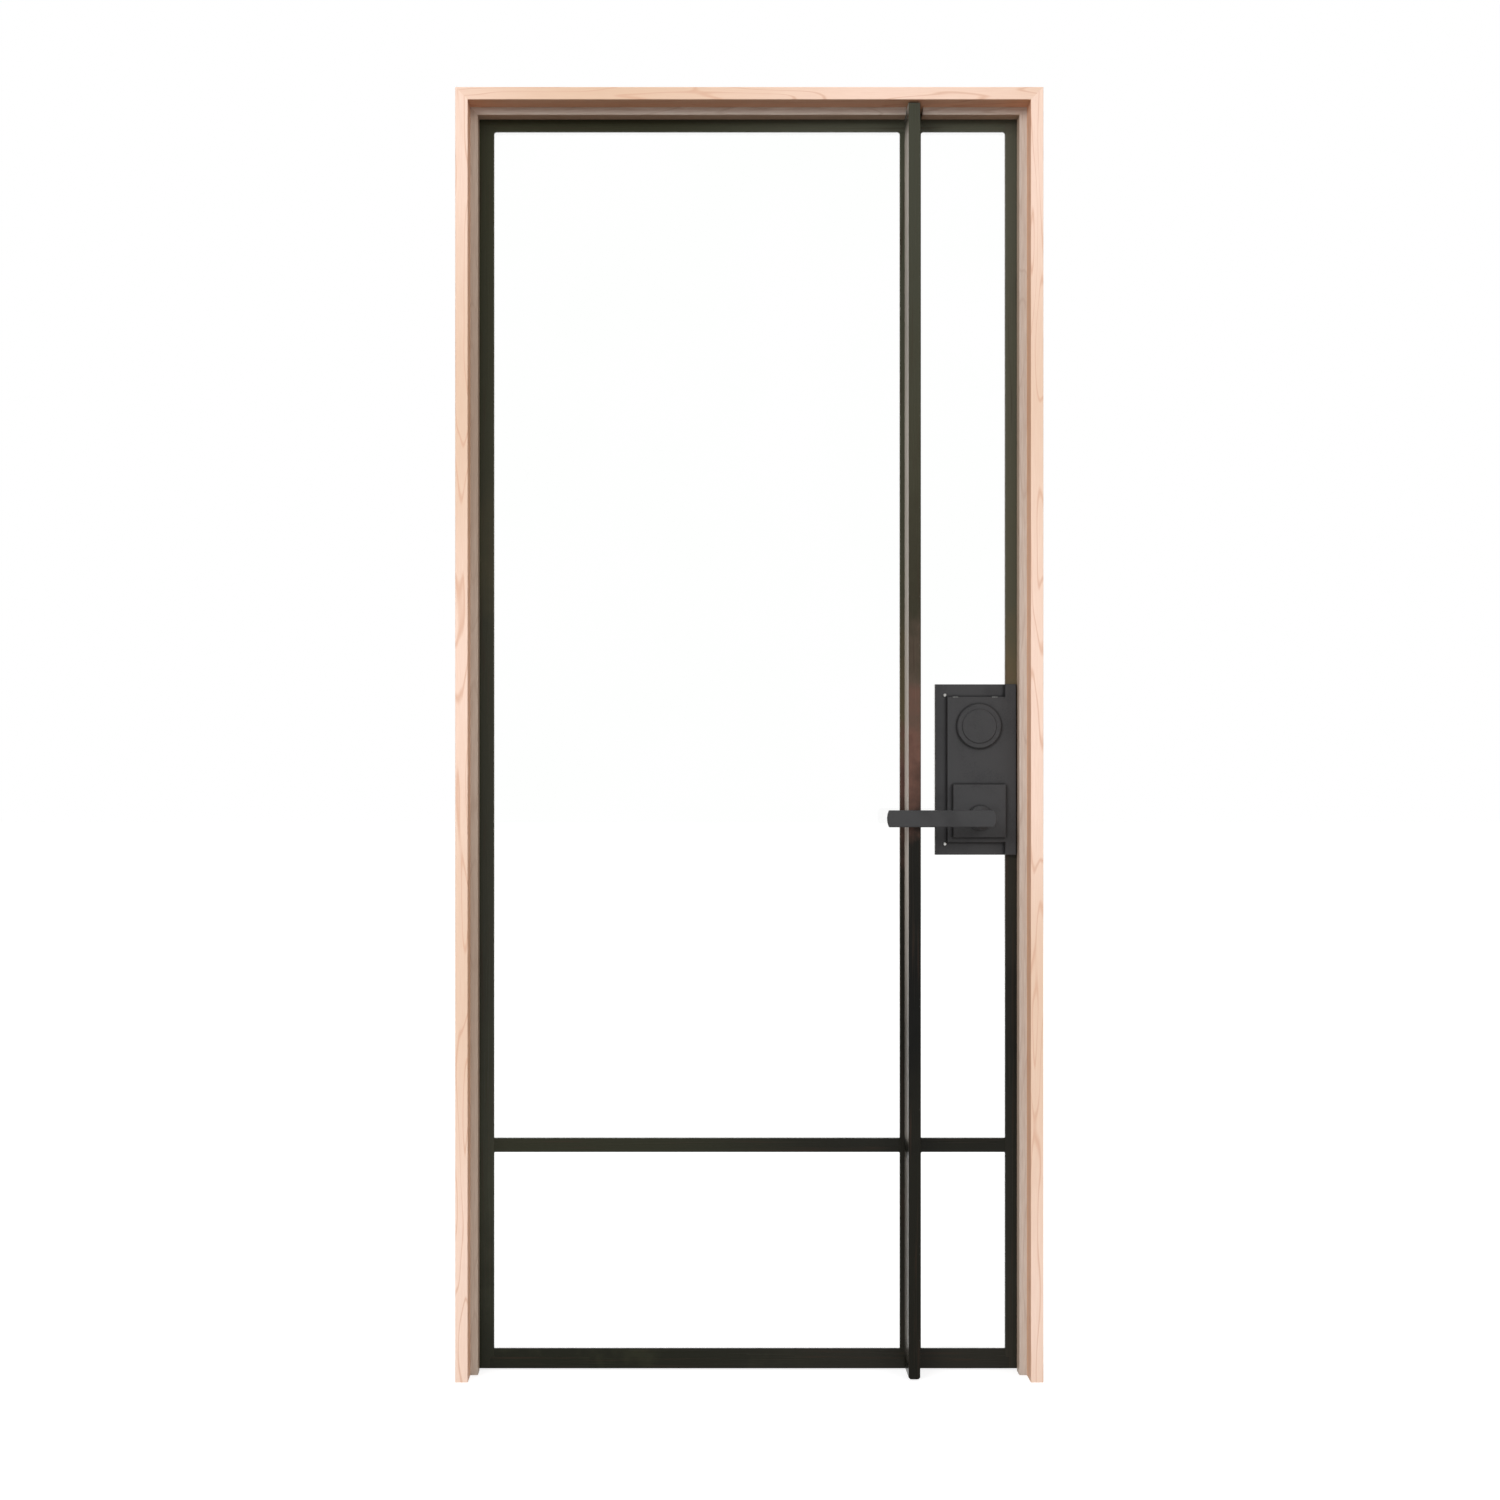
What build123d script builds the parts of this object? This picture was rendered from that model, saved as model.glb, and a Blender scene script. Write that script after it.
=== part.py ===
import os

from build123d import *

# All lengths are in millimetres. X runs to the viewer's right, Y away from the viewer, Z up.
# The origin lies on the floor, in the middle of the doorway and of the leaf's thickness.

# Door leaf and the gaps round it
leaf_width = 914.0
leaf_height = 2090.0
leaf_thickness = 44.0
side_gap = 3.0
head_gap = 3.0
floor_gap = 3.0
overrun = 20.0

# Timber frame, its applied stops and the seal behind them
jamb_thickness = 20.5
jamb_depth = 116.0
jamb_setback = 3.0
arris_radius = 1.0
stop_height = 12.5
stop_thickness = 26.0
seal_space = 3.0
seal_clearance = 0.3
seal_width = 7.0

# Steel sections of the leaf: a hollow chamber with a thin lip that laps the glass
section_wall = 2.0
lip_width = 7.0
end_lip_width = 14.0
lip_thickness = 4.0
hinge_stile_chamber = 26.5
lock_stile_chamber = 21.5
top_rail_chamber = 15.0
bottom_rail_chamber = 19.0
mid_rail_web = 9.0
mid_rail_height = 375.0
mullion_web = 21.0
narrow_opening = 154.5

# Deep fin on the front of the mullion
fin_width = 19.0
fin_depth = 62.0
fin_clearance = 1.0
fin_foot_bevel = 3.0

# Glass, its tape and blocks, and the angle beads behind it
glass_thickness = 6.0
tape_thickness = 2.0
pane_edge_gap = 2.5
pane_notch_radius = 5.0
bead_wall = 1.5
bead_leg = 5.0
bead_run = 16.0
bead_mitre_gap = 0.2
setting_block_length = 30.0
setting_block_shares = (0.25, 0.75)

# Butt hinges
hinge_height = 102.0
hinge_reach = 40.0
hinge_plate = 3.0
hinge_corner = 6.0
hinge_stand_off = 0.65
knuckle_radius = 6.35
knuckle_gap = 0.2
knuckles = 3
pin_radius = 3.5
pin_clearance = 0.05
pin_cap = 3.0
hinge_top_margin = 178.0
hinge_bottom_margin = 271.0
reinforcement_thickness = 5.0
reinforcement_margin = 30.0

# Lock: axes, hollow box in the leaf and the pressed plates over it
backset = 74.0
lever_height = 921.0
lock_centres = 152.0
plate_width = 134.0
plate_drop = 62.0
plate_lift = 70.0
plate_stop_clearance = 2.0
plate_thickness = 2.0
rear_plate_inset = 6.0
panel_rise = 12.0
panel_left_margin = 19.0
panel_top_margin = 21.0
panel_bottom_margin = 21.0
panel_edge_radius = 1.5
column_width = 19.0

# Square lever roses, round bolt roses
rose_size = 88.0
rose_thickness = 9.5
rose_lift = 11.5
rose_edge_radius = 1.5
bolt_rose_radius = 37.0
bolt_rose_thickness = 6.0
bolt_rim_width = 8.5
bolt_disc_rise = 1.5
bolt_disc_seat = 2.0
bolt_disc_edge_share = 0.6

# Levers and their spindle
lever_length = 155.0
lever_bar_height = 27.5
lever_bar_thickness = 12.0
rear_lever_length = 112.0
rear_lever_height = 18.0
lever_fin_clearance = 6.0
lever_tip_bow = 3.0
lever_edge = 1.2
collar_radius = 20.0
collar_length = 11.0
neck_radius = 12.0
neck_cove = 6.0
journal_radius = 14.0
running_clearance = 0.05
collar_gap = 0.3
spindle_width = 8.0
spindle_reach = 36.0

# Thumb-turn on the far side and its tailpiece
turn_journal_radius = 10.0
turn_boss_radius = 14.0
turn_boss_length = 5.0
turn_grip_length = 46.0
turn_grip_width = 12.0
turn_grip_depth = 16.0
turn_edge = 1.5
tailpiece_width = 9.0
tailpiece_thickness = 3.0
tailpiece_tail = 10.0

# Latch bolt and deadbolt with their cases, faceplates and strikes
bolt_radius = 11.0
bolt_flat = 16.0
case_wall = 2.0
latch_throw = 12.0
latch_nose = 4.0
latch_bevel_start = 1.5
deadbolt_throw = 22.0
hub_radius = 9.0
hub_length = 12.0
yoke_gap = 1.5
yoke_plate = 3.0
yoke_width = 8.0
faceplate_width = 26.0
faceplate_height = 62.0
faceplate_corner = 6.0
strike_thickness = 2.0
strike_height = 76.0
strike_width = 30.0
strike_corner = 4.0
strike_hole_clearance = 2.0
strike_lip_reach = 4.0
strike_lip_bend = 3.0
strike_lip_height = 34.0
access_radius = 16.5

# Places that several pieces share
leaf_x = leaf_width / 2
leaf_y = leaf_thickness / 2
leaf_bottom = floor_gap
leaf_top = floor_gap + leaf_height
open_x = leaf_x + side_gap
open_z = leaf_top + head_gap
jamb_rear = leaf_y + jamb_setback
jamb_front = jamb_rear - jamb_depth
stop_rear = -leaf_y - seal_space
stop_front = stop_rear - stop_thickness
stop_x = open_x - stop_height
stop_z = open_z - stop_height

chamber_left = -leaf_x + hinge_stile_chamber
chamber_right = leaf_x - lock_stile_chamber
chamber_top = leaf_top - top_rail_chamber
chamber_bottom = leaf_bottom + bottom_rail_chamber
lip_left = chamber_left + lip_width
lip_right = chamber_right - lip_width
lip_back = -leaf_y + lip_thickness
web_right = chamber_right - narrow_opening
web_left = web_right - mullion_web
mullion_x = (web_left + web_right) / 2
fin_left = mullion_x - fin_width / 2
fin_right = mullion_x + fin_width / 2
fin_front = -leaf_y - fin_depth
web_bottom = mid_rail_height - mid_rail_web / 2
web_top = mid_rail_height + mid_rail_web / 2

glass_front = lip_back + tape_thickness
glass_back = glass_front + glass_thickness
bead_front = glass_back + tape_thickness

lock_x = leaf_x - backset
bolt_height = lever_height + lock_centres
plate_bottom = lever_height - plate_drop
plate_top = bolt_height + plate_lift
plate_right = stop_x - plate_stop_clearance
plate_left = plate_right - plate_width
box_left = plate_left + lip_width
box_bottom = plate_bottom + lip_width
box_top = plate_top - lip_width
panel_left = plate_left + panel_left_margin
panel_face = -leaf_y - panel_rise
rose_face = panel_face - rose_thickness
bolt_rose_face = panel_face - bolt_rose_thickness
bolt_disc_face = bolt_rose_face - bolt_disc_rise
bolt_disc_radius = bolt_rose_radius - bolt_rim_width
bolt_disc_edge = bolt_disc_edge_share * bolt_disc_rise
case_radius = bolt_radius + case_wall
lever_back = fin_front - lever_fin_clearance
lever_face = lever_back - lever_bar_thickness
edge_x = leaf_x - section_wall

hinge_x = -leaf_x - side_gap / 2
hinge_y = jamb_rear + knuckle_radius + hinge_stand_off
hinge_low = leaf_bottom + hinge_bottom_margin
hinge_high = leaf_top - hinge_top_margin - hinge_height
hinge_places = {"bottom": hinge_low, "middle": (hinge_low + hinge_high) / 2, "top": hinge_high}


def block(x0, x1, y0, y1, z0, z1):
    """Straight-sided solid between its six limits."""
    middle = Pos((x0 + x1) / 2, (y0 + y1) / 2, (z0 + z1) / 2)
    return middle * Box(x1 - x0, y1 - y0, z1 - z0)


def slab(points, y0, y1):
    """Outline drawn in the door's face, given as (x, z), carried from depth y0 to y1."""
    face = make_face(Polyline(*points, close=True))
    return Pos(0, y0, 0) * extrude(Plane.XZ * face, y1 - y0, dir=(0, 1, 0))


def rectangle(x0, x1, z0, z1):
    """Corners of an upright rectangle, anticlockwise as the viewer sees it."""
    return [(x0, z0), (x1, z0), (x1, z1), (x0, z1)]


def direction(start, end):
    """Unit step along one side of a right-angled outline."""
    step_x = (end[0] > start[0]) - (end[0] < start[0])
    step_z = (end[1] > start[1]) - (end[1] < start[1])
    return step_x, step_z


def inset(points, distance):
    """Right-angled outline moved inwards by one distance on every side."""
    moved = []
    for place, point in enumerate(points):
        into = direction(points[place - 1], point)
        out = direction(point, points[(place + 1) % len(points)])
        shift_x = -into[1] - out[1]
        shift_z = into[0] + out[0]
        moved.append((point[0] + distance * shift_x, point[1] + distance * shift_z))
    return moved


def rod(radius, y0, y1, x, z):
    """Round bar along Y."""
    return Pos(x, (y0 + y1) / 2, z) * Rot(90, 0, 0) * Cylinder(radius, y1 - y0)


def bar(radius, x0, x1, z):
    """Round bar along X in the middle of the leaf's thickness."""
    return Pos((x0 + x1) / 2, 0, z) * Rot(0, 90, 0) * Cylinder(radius, x1 - x0)


def post(radius, z0, z1, x, y):
    """Round upright bar."""
    return Pos(x, y, (z0 + z1) / 2) * Cylinder(radius, z1 - z0)


def turned(points, x, z):
    """Profile of (radius, y) points turned round an axis along Y."""
    face = make_face(Polyline(*points, close=True))
    return Pos(x, 0, z) * revolve(face, Axis.Y)


def group(pieces):
    """Separate like pieces kept as one node."""
    return Compound([piece.solid() for piece in pieces])


def rear(piece):
    """The same piece on the far face of the leaf."""
    return mirror(piece, about=Plane.XZ)


def rounded_plate(x0, x1, y0, y1, z0, z1, radius):
    """Flat plate facing X with rounded corners."""
    plate = block(x0, x1, y0, y1, z0, z1)
    return fillet(plate.edges().filter_by(Axis.X), radius)


def without(piece, tools):
    """Piece with each of several cutters taken out."""
    for tool in tools:
        piece = piece - tool
    return piece


def strike_side_leg():
    """Timber jamb leg on the lock side, mitred at the head, with eased front arrises."""
    outer_x = open_x + jamb_thickness
    outline = [(open_x, 0), (outer_x, 0), (outer_x, open_z + jamb_thickness), (open_x, open_z)]
    leg = slab(outline, jamb_front, jamb_rear)
    return fillet(leg.edges().filter_by(Axis.Z).group_by(Axis.Y)[0], arris_radius)


def head_board():
    """Timber head of the frame, mitred to both legs."""
    outer_x = open_x + jamb_thickness
    outer_z = open_z + jamb_thickness
    outline = [(-open_x, open_z), (open_x, open_z), (outer_x, outer_z), (-outer_x, outer_z)]
    board = slab(outline, jamb_front, jamb_rear)
    return fillet(board.edges().filter_by(Axis.X).group_by(Axis.Y)[0], arris_radius)


def strike_side_strip():
    """Applied stop on the lock jamb, mitred at the head, with its inner front arris eased."""
    outline = [(stop_x, 0), (open_x, 0), (open_x, open_z), (stop_x, stop_z)]
    strip = slab(outline, stop_front, stop_rear)
    front = strip.edges().filter_by(Axis.Z).group_by(Axis.Y)[0]
    return fillet(front.sort_by(Axis.X)[0], arris_radius)


def fin_passage():
    """Gap at the head that the fin passes, up to where its front corner swings clear of the stop."""
    reach = fin_right - hinge_x
    lead = hinge_y - fin_front
    swung = hinge_x + (reach ** 2 + lead ** 2 - (hinge_y - stop_rear) ** 2) ** 0.5
    return block(fin_left - fin_clearance, swung + fin_clearance, fin_front, 0, chamber_top, open_z)


def head_strip():
    """Applied stop under the head board, in two lengths with room for the fin between them."""
    outline = [(-stop_x, stop_z), (stop_x, stop_z), (open_x, open_z), (-open_x, open_z)]
    strip = slab(outline, stop_front, stop_rear)
    front = strip.edges().filter_by(Axis.X).group_by(Axis.Y)[0]
    return fillet(front.sort_by(Axis.Z)[0], arris_radius) - fin_passage()


def seal_strips():
    """Compression seal on the rear of the stops, just short of the closed leaf."""
    back = -leaf_y - seal_clearance
    inner_x = (stop_x + leaf_x - seal_width) / 2
    inner_z = (stop_z + leaf_top - seal_width) / 2
    side = block(inner_x, inner_x + seal_width, stop_rear, back, leaf_bottom, inner_z)
    top = block(-inner_x - seal_width, inner_x + seal_width, stop_rear, back,
                inner_z, inner_z + seal_width) - fin_passage()
    return Compound([side.solid(), mirror(side, about=Plane.YZ).solid(), *top.solids()])


def knuckle_spans(low, own):
    """Heights of a hinge's knuckles: the frame's are the even ones, the door's the odd ones."""
    pitch = hinge_height / knuckles
    spans = []
    for place in range(own, knuckles, 2):
        start = low + place * pitch
        below = knuckle_gap / 2 if place > 0 else 0
        above = knuckle_gap / 2 if place < knuckles - 1 else 0
        spans.append((start + below, start + pitch - above))
    return spans


def hinge_flap(low, plate_x, plate_rear):
    """Flat plate of one hinge half before its knuckles, with rounded inner corners."""
    plate = block(plate_x, plate_x + hinge_plate, hinge_y - hinge_reach, plate_rear,
                  low, low + hinge_height)
    inner = plate.edges().filter_by(Axis.X).group_by(Axis.Y)[0]
    return fillet(inner, hinge_corner)


def hinge_half(low, own, plate_x, plate_rear):
    """Hinge half: plate, the tongues that reach the axis, and the bored knuckles."""
    half = hinge_flap(low, plate_x, plate_rear)
    for start, end in knuckle_spans(low, own):
        half += block(plate_x, plate_x + hinge_plate, plate_rear, hinge_y, start, end)
        half += post(knuckle_radius, start, end, hinge_x, hinge_y)
    bore = pin_radius + pin_clearance
    return half - post(bore, low - overrun, low + hinge_height + overrun, hinge_x, hinge_y)


def hinge_pin(low):
    """Hinge pin with a flat cap at each end."""
    high = low + hinge_height
    pin = post(pin_radius, low, high, hinge_x, hinge_y)
    pin += post(knuckle_radius, high, high + pin_cap, hinge_x, hinge_y)
    return pin + post(knuckle_radius, low - pin_cap, low, hinge_x, hinge_y)


def bolt_shape(x0, x1, z, clearance):
    """Round bar with a flat on its front and rear, as a bolt or as the hole for one."""
    flat = bolt_flat / 2 + clearance
    limits = block(x0, x1, -flat, flat, z - case_radius, z + case_radius)
    return bar(bolt_radius + clearance, x0, x1, z) & limits


def strike_plate_blank(z):
    """Strike plate before its hole, let flush into the lock jamb."""
    return rounded_plate(open_x, open_x + strike_thickness, -strike_width / 2, strike_width / 2,
                         z - strike_height / 2, z + strike_height / 2, strike_corner)


def strike_lip():
    """Curved lip that leads the latch over the jamb's rear edge."""
    profile = [(open_x, 0), (open_x, jamb_rear),
               (open_x + strike_lip_bend, jamb_rear + strike_lip_reach),
               (open_x + strike_lip_bend + strike_thickness, jamb_rear + strike_lip_reach),
               (open_x + strike_thickness, jamb_rear), (open_x + strike_thickness, 0)]
    face = make_face(Polyline(*profile, close=True))
    return Pos(0, 0, lever_height - strike_lip_height / 2) * extrude(face, strike_lip_height)


def faceplate_blank(z):
    """Faceplate of a bolt before its hole, let flush into the leaf's edge."""
    return rounded_plate(edge_x, leaf_x, -faceplate_width / 2, faceplate_width / 2,
                         z - faceplate_height / 2, z + faceplate_height / 2, faceplate_corner)


def bolt_case(z, back):
    """Tubular case that carries a bolt from the lock box to the leaf's edge."""
    hole = bolt_shape(back - overrun, leaf_x + overrun, z, running_clearance)
    return bar(case_radius, back, edge_x, z) - hole


def yoke(z, crossbar_x):
    """Fork at the back of a bolt, whose prongs pass above and below the turning hub."""
    inner = hub_radius + yoke_gap
    outer = inner + yoke_plate
    back_x = lock_x - hub_radius
    front_x = crossbar_x + yoke_plate
    outline = [(back_x, -outer), (front_x, -outer), (front_x, outer), (back_x, outer),
               (back_x, inner), (crossbar_x, inner), (crossbar_x, -inner), (back_x, -inner)]
    return Pos(0, 0, z) * slab(outline, -yoke_width / 2, yoke_width / 2)


latch_crossbar = lock_x + hub_radius + latch_throw + yoke_gap
deadbolt_crossbar = lock_x + hub_radius + yoke_gap


def latch():
    """Sprung latch bolt, bevelled on the side that meets the strike."""
    tip = leaf_x + latch_throw
    bolt = bolt_shape(latch_crossbar + yoke_plate, tip, lever_height, 0)
    flat = bolt_flat / 2
    wedge = [(leaf_x + latch_bevel_start, -flat), (tip + overrun, -flat - overrun),
             (tip + overrun, flat - latch_nose), (tip, flat - latch_nose)]
    cutter = extrude(make_face(Polyline(*wedge, close=True)), bolt_radius + overrun, both=True)
    bolt = bolt - Pos(0, 0, lever_height) * cutter
    return bolt + yoke(lever_height, latch_crossbar)


def deadbolt():
    """Square-ended deadbolt, drawn back level with its faceplate."""
    bolt = bolt_shape(deadbolt_crossbar + yoke_plate, leaf_x, bolt_height, 0)
    return bolt + yoke(bolt_height, deadbolt_crossbar)


def stile_section(chamber):
    """Closed hollow stile with the lip that laps the glass between the two end rails."""
    inner_x = leaf_x - chamber
    outer = block(inner_x, leaf_x, -leaf_y, leaf_y, leaf_bottom, leaf_top)
    inner = block(inner_x + section_wall, edge_x, -leaf_y + section_wall, leaf_y - section_wall,
                  leaf_bottom + section_wall, leaf_top - section_wall)
    lip = block(inner_x - lip_width, inner_x, -leaf_y, lip_back, chamber_bottom, chamber_top)
    return outer - inner + lip


def end_rail(z0, z1, lip_z0, lip_z1):
    """Hollow top or bottom rail between the stiles, with its lip between theirs."""
    outer = block(chamber_left, chamber_right, -leaf_y, leaf_y, z0, z1)
    inner = block(chamber_left + section_wall, chamber_right - section_wall,
                  -leaf_y + section_wall, leaf_y - section_wall, z0 + section_wall, z1 - section_wall)
    lip = block(lip_left, lip_right, -leaf_y, lip_back, lip_z0, lip_z1)
    return outer - inner + lip


def tee_rail(x0, x1):
    """One length of the mid rail, a tee with its flange towards the viewer."""
    flange = block(x0 + lip_width, x1 - lip_width, -leaf_y, lip_back,
                   web_bottom - lip_width, web_top + lip_width)
    return flange + block(x0, x1, lip_back, leaf_y, web_bottom, web_top)


def tee_mullion():
    """Upright tee between the wide and the narrow panes."""
    flange = block(web_left - lip_width, web_right + lip_width, -leaf_y, lip_back,
                   chamber_bottom + end_lip_width, chamber_top - end_lip_width)
    return flange + block(web_left, web_right, lip_back, leaf_y, chamber_bottom, chamber_top)


def fin():
    """Deep hollow fin on the mullion for the leaf's full height, bevelled at its foot."""
    outer = block(fin_left, fin_right, fin_front, -leaf_y, leaf_bottom, leaf_top)
    outer = chamfer(outer.edges().filter_by(Axis.Y).group_by(Axis.Z)[0], fin_foot_bevel)
    inner = block(fin_left + section_wall, fin_right - section_wall, fin_front + section_wall,
                  -leaf_y - section_wall, leaf_bottom + fin_foot_bevel, leaf_top - section_wall)
    return outer - inner


def glazing_outlines():
    """Clear outline between the sections for each of the four panes."""
    notched = [(web_right, web_top), (chamber_right, web_top), (chamber_right, box_bottom),
               (box_left, box_bottom), (box_left, box_top), (chamber_right, box_top),
               (chamber_right, chamber_top), (web_right, chamber_top)]
    return {
        "upper_wide": rectangle(chamber_left, web_left, web_top, chamber_top),
        "upper_narrow": notched,
        "lower_wide": rectangle(chamber_left, web_left, chamber_bottom, web_bottom),
        "lower_narrow": rectangle(web_right, chamber_right, chamber_bottom, web_bottom),
    }


def pane(outline):
    """Sheet of glass, with rounded inner corners where it is notched round the lock box."""
    sheet = slab(inset(outline, pane_edge_gap), glass_front, glass_back)
    notch_x = box_left - pane_edge_gap
    notch_z = (box_bottom - pane_edge_gap, box_top + pane_edge_gap)
    corners = [edge for edge in sheet.edges().filter_by(Axis.Y)
               if abs(edge.center().X - notch_x) < pane_edge_gap / 2
               and min(abs(edge.center().Z - height) for height in notch_z) < pane_edge_gap / 2]
    return fillet(corners, pane_notch_radius) if corners else sheet


def tape_rings(outline):
    """Glazing tape in front of and behind one pane, under the lip and the bead."""
    outer = inset(outline, pane_edge_gap)
    rings = []
    for y0, cover in ((lip_back, lip_width), (glass_back, bead_leg)):
        ring = slab(outer, y0, y0 + tape_thickness)
        hole = slab(inset(outline, cover), y0 - overrun, y0 + tape_thickness + overrun)
        rings.append(ring - hole)
    return rings


def setting_blocks(outline):
    """Blocks that carry one pane's weight on the section below it."""
    x0, z0 = outline[0]
    x1 = outline[1][0]
    blocks = []
    for share in setting_block_shares:
        middle = x0 + share * (x1 - x0)
        blocks.append(block(middle - setting_block_length / 2, middle + setting_block_length / 2,
                            glass_front, glass_back, z0, z0 + pane_edge_gap))
    return blocks


def mitred_length(outer, inner, here, gap):
    """Outline of one side of a mitred frame, held back from the mitre at both its ends."""
    after = (here + 1) % len(outer)
    run_x, run_z = direction(outer[here], outer[after])
    start = [(x + gap * run_x, z + gap * run_z) for x, z in (inner[here], outer[here])]
    end = [(x - gap * run_x, z - gap * run_z) for x, z in (outer[after], inner[after])]
    return start + end


def glazing_beads(outline):
    """Angle beads behind one pane, cut to length and mitred at every corner."""
    wall = inset(outline, bead_wall)
    cover = inset(outline, bead_leg)
    beads = []
    for here in range(len(outline)):
        leg = slab(mitred_length(outline, cover, here, bead_mitre_gap / 2),
                   bead_front, bead_front + bead_wall)
        run = slab(mitred_length(outline, wall, here, bead_mitre_gap / 2),
                   bead_front, bead_front + bead_run)
        beads.append(leg + run)
    return group(beads)


def hinge_reinforcement(low):
    """Plate welded across the inside of the hinge stile, behind one hinge."""
    back = -leaf_x + hinge_plate
    return block(back, back + reinforcement_thickness, -leaf_y + section_wall,
                 leaf_y - section_wall, low - reinforcement_margin,
                 low + hinge_height + reinforcement_margin)


def lock_box():
    """Welded box that takes the lock: lapping front plate, thin walls, open to the stile."""
    shell = block(box_left, chamber_right, lip_back, leaf_y, box_bottom, box_top)
    shell -= block(box_left + section_wall, chamber_right + overrun, lip_back - overrun,
                   leaf_y - section_wall, box_bottom + section_wall, box_top - section_wall)
    shell += block(plate_left, lip_right, -leaf_y, lip_back, plate_bottom, plate_top)
    for height in (lever_height, bolt_height):
        shell -= rod(access_radius, -leaf_y - overrun, leaf_y + overrun, lock_x, height)
    return shell


def panel_outline():
    """Raised part of a lock plate: a panel with a column along its edge for the full height."""
    column_left = plate_right - column_width
    low = plate_bottom + panel_bottom_margin
    high = plate_top - panel_top_margin
    return [(panel_left, low), (column_left, low), (column_left, plate_bottom),
            (plate_right, plate_bottom), (plate_right, plate_top), (column_left, plate_top),
            (column_left, high), (panel_left, high)]


def lock_plate(left):
    """Pressed lock plate: thin flange and a raised hollow panel with rounded front edges."""
    raised = slab(panel_outline(), panel_face, -leaf_y)
    rim = raised.faces().sort_by(Axis.Y)[0].edges()
    raised = fillet(rim, panel_edge_radius)
    flange = slab(rectangle(left, plate_right, plate_bottom, plate_top),
                  -leaf_y - plate_thickness, -leaf_y)
    hollow = slab(inset(panel_outline(), plate_thickness), panel_face + plate_thickness,
                  -leaf_y + overrun)
    plate = flange + raised - hollow
    for height in (lever_height, bolt_height):
        plate -= rod(access_radius, panel_face - overrun, -leaf_y, lock_x, height)
    return plate


def lever_rose():
    """Square rose with rounded front edges, bored for the lever's journal."""
    half = rose_size / 2
    middle = lever_height + rose_lift
    outline = rectangle(lock_x - half, lock_x + half, middle - half, middle + half)
    rose = slab(outline, rose_face, panel_face)
    rose = fillet(rose.faces().sort_by(Axis.Y)[0].edges(), rose_edge_radius)
    bore = journal_radius + running_clearance
    return rose - rod(bore, rose_face - overrun, panel_face + overrun, lock_x, lever_height)


def bolt_ring():
    """Round rose on the front, dished to seat the blank disc."""
    chamfer = rose_edge_radius
    profile = [(0, panel_face), (bolt_rose_radius, panel_face),
               (bolt_rose_radius, bolt_rose_face + chamfer),
               (bolt_rose_radius - chamfer, bolt_rose_face), (bolt_disc_radius, bolt_rose_face),
               (bolt_disc_radius, bolt_rose_face + bolt_disc_seat),
               (0, bolt_rose_face + bolt_disc_seat)]
    return turned(profile, lock_x, bolt_height)


def bolt_disc():
    """Blank disc in the front rose, with a bevelled edge."""
    back = bolt_rose_face + bolt_disc_seat
    profile = [(0, back), (bolt_disc_radius, back),
               (bolt_disc_radius, bolt_disc_face + bolt_disc_edge),
               (bolt_disc_radius - bolt_disc_edge, bolt_disc_face), (0, bolt_disc_face)]
    return turned(profile, lock_x, bolt_height)


def rear_bolt_ring():
    """Round rose on the far side, stepped like the front one and bored for the thumb-turn."""
    chamfer = rose_edge_radius
    bore = turn_journal_radius + running_clearance
    profile = [(bore, -panel_face), (bolt_rose_radius, -panel_face),
               (bolt_rose_radius, -bolt_rose_face - chamfer),
               (bolt_rose_radius - chamfer, -bolt_rose_face), (bolt_disc_radius, -bolt_rose_face),
               (bolt_disc_radius, -bolt_disc_face - bolt_disc_edge),
               (bolt_disc_radius - bolt_disc_edge, -bolt_disc_face), (bore, -bolt_disc_face)]
    return turned(profile, lock_x, bolt_height)


def lever_outline(length, height):
    """Lever bar from its bowed tip to a round end centred on the axis."""
    half = height / 2
    shoulder = (collar_radius ** 2 - half ** 2) ** 0.5
    bow = ThreePointArc((-length, half), (-length - lever_tip_bow, 0), (-length, -half))
    end = ThreePointArc((shoulder, -half), (collar_radius, 0), (shoulder, half))
    edges = [bow, Line((-length, -half), (shoulder, -half)), end,
             Line((shoulder, half), (-length, half))]
    return Pos(lock_x, 0, lever_height) * (Plane.XZ * make_face(edges))


def lever(length, height):
    """Lever handle: flat bar, coved neck, collar on the rose and journal through it."""
    collar_back = rose_face - collar_gap
    collar_front = collar_back - collar_length
    outline = Pos(0, lever_face, 0) * lever_outline(length, height)
    handle = extrude(outline, lever_bar_thickness, dir=(0, 1, 0))
    handle = chamfer(handle.faces().sort_by(Axis.Y)[0].edges(), lever_edge)
    profile = [(0, lever_back), (neck_radius, lever_back), (neck_radius, collar_front - neck_cove),
               (collar_radius, collar_front), (collar_radius, collar_back),
               (journal_radius, collar_back), (journal_radius, panel_face), (0, panel_face)]
    return handle + turned(profile, lock_x, lever_height) - spindle_bar()


def spindle_bar():
    """Square bar that joins the two levers."""
    half = spindle_width / 2
    reach = leaf_y + spindle_reach
    return slab(rectangle(lock_x - half, lock_x + half, lever_height - half, lever_height + half),
                -reach, reach)


def spindle():
    """Spindle with the hub that draws the latch back."""
    return spindle_bar() + rod(hub_radius, -hub_length / 2, hub_length / 2, lock_x, lever_height)


def tailpiece_blade():
    """Flat blade that the thumb-turn drives."""
    return block(lock_x - tailpiece_thickness / 2, lock_x + tailpiece_thickness / 2,
                 -tailpiece_tail, -bolt_rose_face, bolt_height - tailpiece_width / 2,
                 bolt_height + tailpiece_width / 2)


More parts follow.
